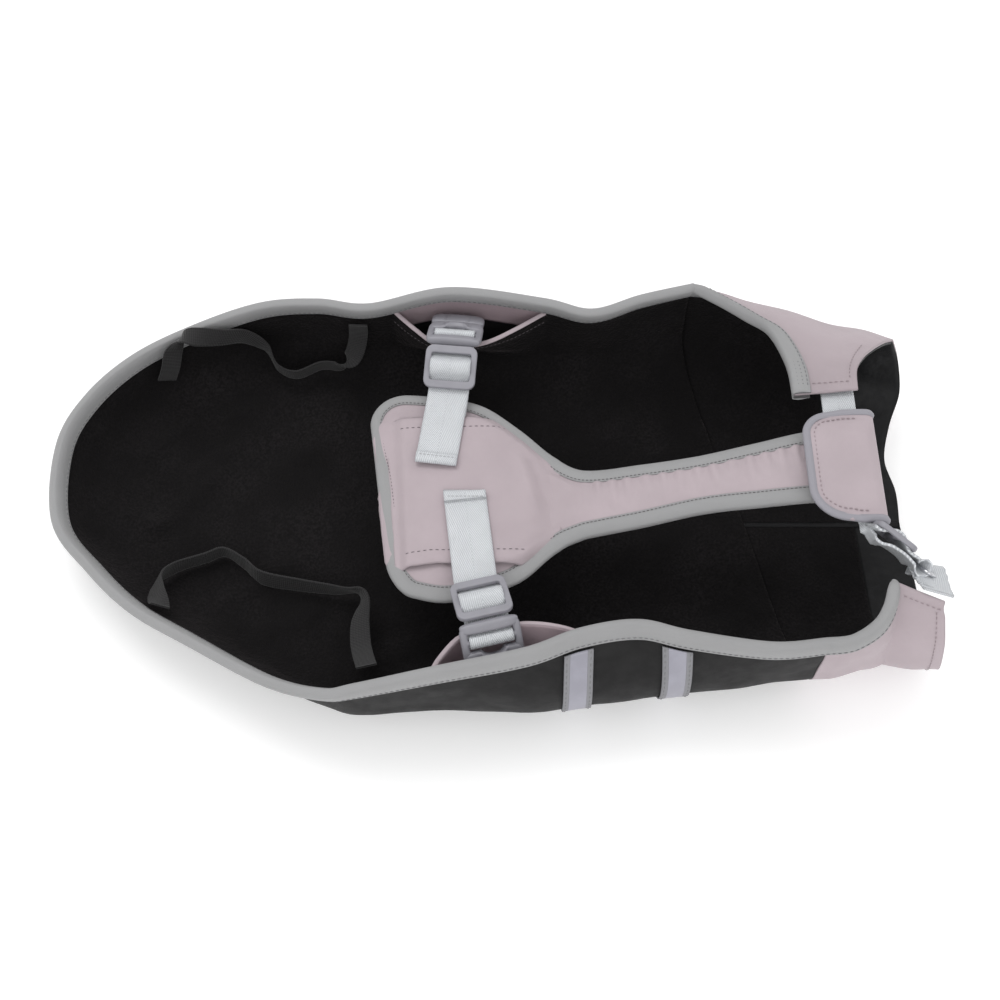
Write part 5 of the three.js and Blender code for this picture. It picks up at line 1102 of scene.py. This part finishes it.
def barPlateLoops(plate, corner, windowCorner):  # outline of a slider and its two windows beside the bar
    half, bar = plate["length"] / 2, plate["bar"] / 2
    windows = [(bar, half - plate["rim"]), (-half + plate["rim"], -bar)]
    return [roundedLoop(plate["width"], -half, half, corner),
            *(roundedLoop(plate["window"], *window, windowCorner, 4)[::-1] for window in windows)]

def onFrame(plate, x, y, z):  # points of a plate from their places across, along and above it
    return plate["middle"] + x * plate["side"] + y * plate["along"] + z * plate["normal"]

# outline and holes drawn as a flat curve with rounded edges inside the outline, set on a plate's frame
def mouldedPlate(name, loops, thick, bevel, plate, material):
    curve = bpy.data.curves.new(name, "CURVE")
    curve.dimensions, curve.fill_mode = "2D", "BOTH"
    curve.extrude, curve.bevel_depth = thick / 2 - bevel, bevel
    curve.bevel_resolution, curve.offset = 3, -bevel
    for loop in loops:
        spline = curve.splines.new("POLY")
        spline.points.add(len(loop) - 1)
        spline.points.foreach_set("co", np.insert(loop, [2, 2], [0, 1], axis=1).ravel())
        spline.use_cyclic_u = True
    drawn = placed(name, curve)
    mesh = bpy.data.meshes.new_from_object(drawn.evaluated_get(bpy.context.evaluated_depsgraph_get()))
    bpy.data.objects.remove(drawn)
    flat = np.empty(len(mesh.vertices) * 3)
    mesh.vertices.foreach_get("co", flat)
    points = onFrame(plate, *np.split(flat.reshape(-1, 3), 3, axis=1))
    mesh.vertices.foreach_set("co", ((points + shift) / 1000).ravel())
    mesh.materials.clear()
    mesh.name = name
    piece = turnedOut(weld(placed(name, finished(mesh, material))))
    piece.modifiers.new("even_shading", "WEIGHTED_NORMAL")
    return piece

# closed block whose rings are squared ovals, smaller toward its ends; its top has grooves, its front an arch
def mouldedBody(name, width, length, thick, plate, middleAlong, grooves, squareness, arch=0.0):
    t = np.sin(np.linspace(-np.pi / 2, np.pi / 2, 26))
    turn = np.linspace(0, 2 * np.pi, 96, endpoint=False)
    ringX, ringZ = squarer(turn, 2 / squareness)
    size = np.maximum(0.02, (1 - np.abs(t) ** 5)) ** 0.25
    t, size = np.pad(t, 2, "edge"), np.concatenate([[0.02, 0.2], size, [0.2, 0.02]])
    x = ringX[None] * size[:, None] * width / 2
    z = ringZ[None] * size[:, None] * thick / 2
    for at in grooves:
        z = z - 0.55 * np.exp(-((x - at) / 0.42) ** 2) * (z > 0) * size[:, None]
    y = np.broadcast_to((t * length / 2)[:, None], x.shape) + middleAlong
    y = y + arch * np.sqrt(np.clip(1 - (x / archHalf) ** 2, 0, 1)) * (1 - t[:, None]) / 2
    if arch:  # a raised lip follows the arch
        lip = np.hypot(x, (y - middleAlong + length / 2) * 1.25) - archHalf - 1.2
        z = z + 0.9 * np.exp(-(lip / 1.1) ** 2) * (z > 0)
    return closedPiece(name, onFrame(plate, x[..., None], y[..., None], z[..., None]), buckleGrey)

slider = {"width": 32.0, "length": 27.5, "thick": 3.2, "window": 24.6, "bar": 3.6, "rim": 4.9}
male = {"width": 34.5, "length": 25.0, "thick": 4.0, "window": 25.8, "front": (-7.0, -3.4), "back": (-0.2, 3.4)}
female = {"width": 33.5, "length": 12.0, "thick": 7.0}
grooved, squareness, archHalf = [-7.4, 7.4], 3.4, 6.4  # the belly buckles' grooves, corners and arch
bellyWidth, chestWidth, tapeThick = 25.0, 20.0, 1.6  # the two widths of webbing
tapeGap, foldedGap = 1.2, 2.3  # the webbing's middle from a plate's face, and a second layer's from the first
# way: the slider's; lay and end: the webbing's on the panel and at its tip; rise and drop: the slider's and the
# buckle's tilt in degrees; tip and slot: how far back the webbing's tip is, and where it enters the sleeve
straps = {
    "far": {"origin": (-30.6, 83, 75), "way": (0.09, 0.996), "lay": (0.13, 0.99), "end": (0.13, 0.99),
            "rise": 19, "drop": 29, "tip": 65.5, "slot": -31},
    "near": {"origin": (-10.5, -76, 77), "way": (0.24, -0.97), "lay": (0.12, -0.993), "end": (0.0, -1.0),
             "rise": 15, "drop": 43, "tip": 74.5, "slot": -31},
}

def strapBuckle(side):  # builds one side's slider, buckle and anchor, and gives the two plates' frames
    strap, way = straps[side], straps[side]["way"]
    origin = np.array(strap["origin"], float)
    flat = unit(np.array([*way, 0.0]))
    plate = plateFrame(origin, way, 0, 0, strap["rise"])
    half, reach = slider["length"] / 2, male["length"] / 2
    rise, drop = math.radians(strap["rise"]), math.radians(strap["drop"])
    hinge = (half * math.cos(rise) + 2.6, half * math.sin(rise))
    buckle = plateFrame(origin, way, hinge[0] + reach * math.cos(drop), hinge[1] - reach * math.sin(drop),
                        -strap["drop"])
    loops = barPlateLoops(slider, 5.0, 1.4)
    piece = mouldedPlate(f"slider_plate_{side}", loops, slider["thick"], 0.8, plate, buckleGrey)
    dressed(piece, [f"slider_{side}"], "plastic")
    loops = [roundedLoop(male["width"], -reach, reach, 5.4),
             roundedLoop(male["window"], *male["front"], 0.9, 4)[::-1],
             archedLoop(male["window"], *male["back"], archHalf, 3.6)]
    piece = mouldedPlate(f"buckle_frame_{side}", loops, male["thick"], 1.5, buckle, buckleGrey)
    dressed(mouldedBody(f"buckle_bar_{side}", 33.2, 6.2, 6.2, buckle, -9.8, [], 3.0), [], "plastic")
    dressed(mouldedBody(f"buckle_catch_{side}", 33.2, 9.6, 6.6, buckle, 8.2, grooved, squareness, 3.4), [], "plastic")
    dressed(piece, [f"buckle_male_{side}"], "plastic")
    start = reach + 0.3 + female["length"] / 2
    body = mouldedBody(f"buckle_socket_{side}", *female.values(), buckle, start, grooved, squareness)
    dressed(body, [f"buckle_female_{side}"], "plastic")
    end = onPlate(buckle, start + female["length"] / 2 + 0.4, 0)
    route = [end + flat * past - upright * fall for past, fall in [(0, 0), (1.5, 2), (2.5, 6), (2.5, 10)]]
    path, wide = rounded(route, [np.array([flat[1], -flat[0], 0.0])] * 4)
    piece = ribbonPiece(f"pocket_anchor_{side}", path, wide, bellyWidth, tapeThick, webbing)
    dressed(piece, [f"anchor_{side}"], "webbing", {"flat": (0.025, 0.012), "held": "hung"})
    return plate, buckle

def strapRun(side):  # the webbing's route from its folded tip over both plates and back under itself
    plate, buckle = strapBuckle(side)
    strap = straps[side]
    origin = np.array(strap["origin"], float)
    flat, lay = (unit(np.array([*strap[key], 0.0])) for key in ("way", "lay"))
    half, reach, tipAt, slot = slider["length"] / 2, male["length"] / 2, strap["tip"], strap["slot"]

    def onCloth(s, lift):  # on the panel, past the slider's end along the strap's own lay
        p = origin - flat * half + lay * (s + half)
        return np.array([p[0], p[1], bellyHeight(p[0], p[1]) + lift])
    under = belly["thick"] / 2 + 1.1 + tapeThick / 2
    above = belly["thick"] / 2 + 0.4 + sleeve["lift"] + sleeve["thick"] + 1.1 + tapeThick / 2
    onSlider, onMale = slider["thick"] / 2 + tapeGap, male["thick"] / 2 + tapeGap
    inSlot = half - slider["rim"] - 0.9
    top = [onCloth(6.2 - tipAt, above + 1.75), onCloth(0.6 - tipAt, above + 1.75),
           onCloth(-tipAt, above) + lay * -0.4 + upright * 0.9, onCloth(-tipAt, above) + lay * 0.5,
           onCloth(-tipAt * 0.8, above), onCloth(slot, above + 0.8), onPlate(plate, -half - 2, -onSlider),
           *(onPlate(plate, u, w * (onSlider + 0.5)) for u, w in [(-inSlot, -1), (-2.6, 1), (2.6, 1), (inSlot, -1)]),
           *(onPlate(buckle, u, w * (onMale - 0.1)) for u, w in [(-6.0, -1), (-4.0, 1), (0.4, 1), (2.6, -1)])]
    back = [onPlate(buckle, 2.8, -onMale - 1.4), onPlate(buckle, 1.4, -onMale - foldedGap),
            onPlate(buckle, 6 - reach, -onMale - foldedGap), onPlate(plate, half - 4.5, -onSlider - foldedGap - 0.5),
            onPlate(plate, -half, -onSlider - foldedGap),
            *(onCloth(slot + s, under + lift) for s, lift in [(9, 2.2), (-1, 0), (-9, 0)])]
    sign = 1 if side == "far" else -1
    straight, laid, tipAcross = (unit(np.array([sign * d[1], -sign * d[0], 0.0])) for d in (flat, lay, strap["end"]))
    return top + back, [tipAcross] * 4 + [laid] * 2 + [straight] * (len(top + back) - 9) + [laid] * 3

farRun, farAcross = strapRun("far")
nearRun, nearAcross = strapRun("near")
middleRun, middleAcross = [], []
for share in (0.25, 0.5, 0.75):  # across the panel, under the sleeve
    x, y, _ = mixed(farRun[-1], nearRun[-1], share)
    middleRun.append(np.array([x, y, bellyHeight(x, y) + 2.9]))
    middleAcross.append(unit(mixed(farAcross[-1], nearAcross[-1], share)))
path, wide = rounded(farRun + middleRun + nearRun[::-1], farAcross + middleAcross + nearAcross[::-1])
piece = ribbonPiece("belly_tape", path, wide, bellyWidth, tapeThick, webbing)
rows = []
for side, run, tipAcross in [("far", farRun, farAcross[0]), ("near", nearRun, nearAcross[0])]:
    middle = mixed(run[0], run[1], 0.35)
    line = middle[None] + tipAcross[None] * np.linspace(-10.8, 10.8, 24)[:, None] + upright * 0.8
    rows.append(stitched(f"tip_stitches_{side}", line, upright, lightThread, 2.3, 1.8, 0.6))
dressed(piece, ["belly_webbing"], "webbing",
        {"flat": (0.025, 0.5), "held": "laid", "rests_on": ["belly_cloth"], "with_pieces": rows})
print("straps and buckles ready, belly webbing %.0f mm" % travelled(path)[-1])

# chest flap folded round the chest webbing
flap = {"thick": 1.8, "far": 35.0, "near": -38.0, "fold": 213.0, "end": 177.0, "low": 91.0, "high": 98.4,
        "start": 186.5, "corners": {1: 15.0, -1: 21.0}}  # corner radii on the far and the near side
flapTape = {"width": 3.2, "top": 0.9, "bottom": -0.9, "thick": 0.7, "puff": 0.5}
flapMiddle, flapHalf = (flap["far"] + flap["near"]) / 2, (flap["far"] - flap["near"]) / 2
foldRadius = (flap["high"] - flap["low"]) / 2
q = np.sin(np.linspace(-np.pi / 2, np.pi / 2, 57))[None]
zero = 0 * q
t = np.linspace(0, 1, 10)[:, None]  # each layer: x, height, and how far its sides draw in
lowerLayer = (mixed(flap["start"], flap["fold"], t) + zero, mixed(flap["low"] - 1.2, flap["low"], t) + zero,
              0.26 * (1 - t) ** 0.7 + zero)
turn = np.linspace(0, np.pi, 12)[1:-1, None]
foldLayer = (flap["fold"] + np.sin(turn) * foldRadius * 1.3 + zero,
             flap["low"] + foldRadius * (1 - np.cos(turn)) + zero, zero * turn)
t = np.linspace(0, 1, 44)[:, None]
endX = flap["end"] + zero
for side, radius in flap["corners"].items():
    along = np.clip(side * q * flapHalf - (flapHalf - radius), 0, radius)
    endX = endX + radius - np.sqrt(np.maximum(0.02, radius ** 2 - along ** 2))
upperLayer = (mixed(flap["fold"], endX, t), flap["high"] - 1.2 * t * t + zero, 0.04 * t ** 4 + zero)
x, z, taper = (np.concatenate(parts) for parts in zip(lowerLayer, foldLayer, upperLayer))
y = flapMiddle + q * flapHalf * (1 - taper)
foldStart, foldEnd, last = len(lowerLayer[0]), len(lowerLayer[0]) + len(foldLayer[0]), len(x) - 1
inset = np.minimum(np.minimum(flap["far"] - y, y - flap["near"]), np.abs(x - endX))
lifted = 0.5 * smooth((inset - 4) / 8) + 0.35 * softNoise(x, y, 14, 41) * smooth(inset / 8)
lifted = lifted - 0.35 * np.exp(-((inset - 5.6) / 1.1) ** 2)
lifted[:foldEnd] = 0
flapGrid = np.stack([x, y, z + lifted], -1)
piece = thickened(gridPiece("flap_cloth", flapGrid, pinkCloth), flap["thick"])
first = (foldStart + foldEnd) // 2  # the piping starts half way round the fold
outward = np.tile(upright, (len(x), 1))
outward[foldStart:foldEnd] = np.stack([np.sin(turn), 0 * turn, -np.cos(turn)], -1)[:, 0]
edgeNormals = np.concatenate([outward[first:last], np.tile(upright, (57, 1)), outward[first:last][::-1]])
edges = np.concatenate([flapGrid[first:last, 0], flapGrid[last], flapGrid[first:last, -1][::-1]])
far = travelled(edges)
edges, edgeNormals = (resampled(values, far, np.linspace(0, far[-1], 170)) for values in (edges, edgeNormals))
flapFrames = edgeFrames(edges, unit(edgeNormals), np.array([200.0, flapMiddle, 97.0]), 3.0, 4)
trim = closedPiece("flap_piping", boundRings(*flapFrames, boundSection(**flapTape)), pipingTape)
line, _ = atDepth(*flapFrames, 5.6, 0.85)
middleColumn = flapGrid[first:, 28][::-1]
line[:, 2] = np.interp(line[:, 0], middleColumn[:, 0], middleColumn[:, 2]) + 0.5
row = stitched("flap_stitches", line[14:-14], upright, pinkThread, 3.0, 2.1, 0.85, 0.3)
dressed(trim, ["chest_flap_piping"], "piping", {"flat": (0.0125, 0.14), "held": "folded", "rests_on": ["flap_cloth"]})
dressed(piece, ["chest_flap"], "pink",
        {"flat": (0.073, 0.088), "area": 0.0056, "held": "folded", "rests_on": ["belly_cloth"], "with_pieces": [row]})

# chest webbing, its slider, ring and the ring's loop
chestSlider = {"width": 26.0, "length": 26.0, "thick": 3.2, "window": 20.8, "bar": 3.6, "rim": 3.0}
ring = {"wire": 2.2, "span": 10.6, "halfBar": 12.2, "square": 0.36,  # square: the power that squares the oval
        "bar": (0.42, -0.72, 0.4), "way": (0.75, -0.3, -0.35)}
chestRows = np.array([  # x, y, z, turn of the tape about its own length
    (200, 74, 89.2, 0), (200.5, 58, 91.6, 0), (200, 40, 94.2, 0), (199, 10, 94.7, 0), (200.5, -14, 94.7, 0),
    (204.5, -29, 94.4, 0), (205.5, -36, 94, 20), (206, -41, 93.6, 60), (208, -46, 93.4, 85), (211, -50, 93, 90),
], float)
tapeWidths = np.array([  # y, and the gathered tape's width there
    (-60, 20), (-50, 18), (-46, 11), (-38, 7), (-30, 8), (-16, 19), (80, 20)], float)
lean = unit(np.array([0.06, -0.5, 0.866]))
way = np.array([0.80, -0.52, -0.30])
chest = {"middle": np.array([219.4, -46.5, 95.0]), "along": unit(way - lean * (way @ lean)), "side": lean}
chest["normal"] = np.cross(chest["side"], chest["along"])
chestHalf = chestSlider["length"] / 2
loops = barPlateLoops(chestSlider, 4.4, 1.2)
piece = mouldedPlate("chest_slider_plate", loops, chestSlider["thick"], 1.0, chest, buckleGrey)
dressed(piece, ["chest_slider"], "plastic")
rows = alongRows(chestRows, np.linspace(0, 1, 21))
tangent = unit(np.gradient(rows[:, :3], axis=0))
flat = unit(np.cross(upright, tangent))
turn = np.radians(rows[:, 3:])
clear = chestSlider["thick"] / 2 + tapeGap
ringRadius = ring["wire"] * math.sqrt(0.5) + 0.4 + tapeThick / 2  # of the webbing's middle round a bar
ringNear = onPlate(chest, 18.5, -4.5)
ringBar, ringWay = unit(np.array(ring["bar"])), np.array(ring["way"])
ringWay = unit(ringWay - ringBar * (ringWay @ ringBar))
ringFar = ringNear + ringWay * ring["span"]

def aroundBar(bar, ahead, aside):  # half a turn of webbing round a bar
    turns = np.radians([-90, -54, -18, 18, 54, 90])
    return [bar + ahead * math.cos(a) * ringRadius + aside * math.sin(a) * ringRadius for a in turns]

slotTo = chestHalf - chestSlider["rim"] - 0.9
threaded = [onPlate(chest, 0, -clear - foldedGap - 0.8), onPlate(chest, chestHalf - 3, -clear - foldedGap),
            *aroundBar(ringNear, chest["along"], chest["normal"]), onPlate(chest, chestHalf + 2, -clear),
            *(onPlate(chest, u, w * clear) for u, w in [(slotTo, -1), (2.6, 1), (-2.6, 1), (-slotTo, -1)]),
            onPlate(chest, -chestHalf - 1.5, -clear)]
path, wide = rounded(
    [*rows[:, :3], *threaded],
    [*(flat * np.cos(turn) + lean * np.sin(turn)), *[lean] * 2, *[ringBar] * 6, *[lean] * (len(threaded) - 8)], 5.0)
late = np.arange(len(path)) > np.argmax(path[:, 1] < -50)
tapeWidth = np.where(late, chestWidth, np.interp(path[:, 1], tapeWidths[:, 0], tapeWidths[:, 1]))
piece = ribbonPiece("chest_tape", path, wide, tapeWidth, tapeThick, webbing)
dressed(piece, ["chest_webbing"], "webbing", {"flat": (0.02, 0.235), "held": "laid", "rests_on": ["flap_cloth"]})

c, s = squarer(np.linspace(0, 2 * np.pi, 96, endpoint=False)[:, None], ring["square"])
oval = (ringNear + ringFar) / 2 + c * ringBar * ring["halfBar"] + s * ringWay * ring["span"] / 2
tangent = unit(np.roll(oval, -1, 0) - np.roll(oval, 1, 0))
ringAxis = np.cross(ringBar, ringWay)
aside = unit(np.cross(tangent, ringAxis))
turn = np.linspace(0, 2 * np.pi, 14, endpoint=False)
wire = (oval[:, None] + aside[:, None] * (np.cos(turn) * ring["wire"] / 2)[None, :, None]
        + ringAxis * (np.sin(turn) * ring["wire"] / 2)[None, :, None])
wire = np.concatenate([wire, wire[:1]])
piece = turnedOut(weld(gridPiece("chest_wire_ring", wire, metal, closed=True)))
dressed(piece, ["chest_ring"], "metal")

tabCorners = [nearGrid[23, -1], nearGrid[0, -1]]
tabWay = unit(tabCorners[1] - tabCorners[0])
tabRib = 9
beyondTab = nearGrid[tabRib, -1] - nearGrid[tabRib, border]
beyondTab = unit(beyondTab - tabWay * (beyondTab @ tabWay))
tabMiddle = mixed(tabCorners[0], tabCorners[1], 0.8) + nearNormals[tabRib, -1] * -1.55 + beyondTab * 3.6
loopTo = ringFar - tabMiddle
loopTo = unit(loopTo - ringBar * (loopTo @ ringBar))

def loopSide(sign):  # one layer of the loop from the tab to the ring, turning from the tab's edge to the bar
    places, directions = [], []
    for k in range(5):
        t = k / 5
        across = unit(mixed(tabWay, ringBar, float(smooth(t))))
        along = mixed(beyondTab, loopTo, t)
        along = unit(along - across * (along @ across))
        out = mixed(1.05, ringRadius, min(1, t / 0.7)) * sign
        places.append(mixed(tabMiddle, ringFar, t) + np.cross(across, along) * out)
        directions.append(across)
    return places, directions

(firstPlaces, firstWays), (lastPlaces, lastWays) = loopSide(-1), loopSide(1)
barPlaces = aroundBar(ringFar, loopTo, np.cross(ringBar, loopTo))
path, wide = rounded(firstPlaces + barPlaces + lastPlaces[::-1], firstWays + [ringBar] * 6 + lastWays[::-1], 3.0)
piece = ribbonPiece("ring_tape", path, wide, chestWidth, tapeThick, webbing)
dressed(piece, ["ring_loop"], "webbing", {"flat": (0.02, 0.045), "held": "folded", "rests_on": ["chest_wire_ring"]})
print("chest strap ready")

# leg elastics
elasticBand = {"width": 12.0, "thick": 1.2}
elasticRows = {  # x, y, z along each band, and its width's direction
    "near": [(-199, -64, 42, 0.8, -0.6, 0), (-205, -50, 33, 0.8, 0, 0.6), (-207, -36, 23, 0.4, 0.2, 0.9),
             (-198, -24, 15, 0, 0, 1), (-182, -17, 13, 0, 0, 1), (-171, -13, 13, 0, 0, 1), (-158, -21, 13, 0, 0.2, 1),
             (-146, -31, 13, 0, 0.3, 0.95), (-122, -36, 13, 0, 0.2, 1), (-101, -40, 15, 0, 0, 1),
             (-88, -43, 19, 0, -0.3, 0.95), (-82, -52, 24, 0.5, 0, 0.8), (-83, -68, 27, 0.9, 0.2, 0.3),
             (-81, -86, 33, 1, 0.2, 0), (-76, -104, 46, 1, 0.2, 0)],
    "far": [(-91, 126, 61, 1, 0, 0), (-92, 125, 48, 1, 0, 0.1), (-96, 120, 36, 0.9, 0, 0.4),
            (-104, 117, 29, 0.5, -0.2, 0.8), (-118, 119, 26, 0.1, -0.2, 1), (-134, 114, 23, 0, -0.2, 1),
            (-146, 118, 25, 0, -0.2, 1), (-154, 127, 35, 0, -0.1, 1), (-166, 127, 47, 0, 0, 1),
            (-179, 119, 57, 0, 0.2, 1), (-190, 112, 67, 0.2, 0.8, 0.5), (-200, 110, 69, 0.3, 1, -0.2),
            (-207, 106, 60, 0.9, 0.4, -0.4), (-211, 103, 47, 0.95, 0.3, 0), (-216, 102, 34, 0.95, 0.3, 0)],
}
for side, table in elasticRows.items():
    rows = alongRows(np.array(table, float), np.linspace(0, 1, 190))
    piece = ribbonPiece(f"leg_elastic_{side}", rows[:, :3], unit(rows[:, 3:]), *elasticBand.values(), elastic)
    dressed(piece, [f"elastic_{side}"], "elastic",
            {"flat": (0.012, 0.23), "held": "hung", "rests_on": ["rim_binding", "fleece_lining"]})
print("elastics ready")

# studio
white = (1.0, 1.0, 1.0, 1.0)
floorSurface = Surface("floor_surface", tint(246, 246, 246), 0.85, Emission_Color=white, Emission_Strength=0.2)
patches = floorSurface.noise(floorSurface.place(), 400, 2)
floorSurface.paint(floorSurface.blend(patches, tint(245, 245, 245), tint(248, 248, 248)))
floorMesh = bpy.data.meshes.new("floor")
corners = [(-3, -3), (3, -3), (3, 3), (-3, 3)]
floorMesh.from_pydata([(x, y, -0.0012) for x, y in corners], [], [(0, 1, 2, 3)])
floorMesh.materials.append(floorSurface.material)
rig.stage(placed("floor", floorMesh))

def softLight(name, place, aim, size, watts):
    data = bpy.data.lights.new(name, "AREA")
    data.shape = "RECTANGLE"
    data.size, data.size_y = size
    data.energy = watts
    lamp = placed(name, data)
    lamp.location = place
    lamp.rotation_euler = (Vector(aim) - Vector(place)).to_track_quat("-Z", "Y").to_euler()

softLight("key_light", (-0.55, 0.75, 1.9), (0, 0, 0.05), (1.1, 0.8), 11)
softLight("front_light", (0.35, -1.5, 1.6), (0, 0, 0.05), (1.6, 1.0), 9)
world = bpy.data.worlds.new("studio")
world.use_nodes = True
background = world.node_tree.nodes["Background"]
background.inputs["Color"].default_value = white
background.inputs["Strength"].default_value = 0.88
scene.world = world
scene.view_settings.view_transform = "Standard"

sizes = {"cad": [list(map(float, corner)) for corner in cadBox],
         "visual": [list(map(float, corner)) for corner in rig.bounds()]}
with open("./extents.json", "w") as out:
    json.dump(sizes, out)
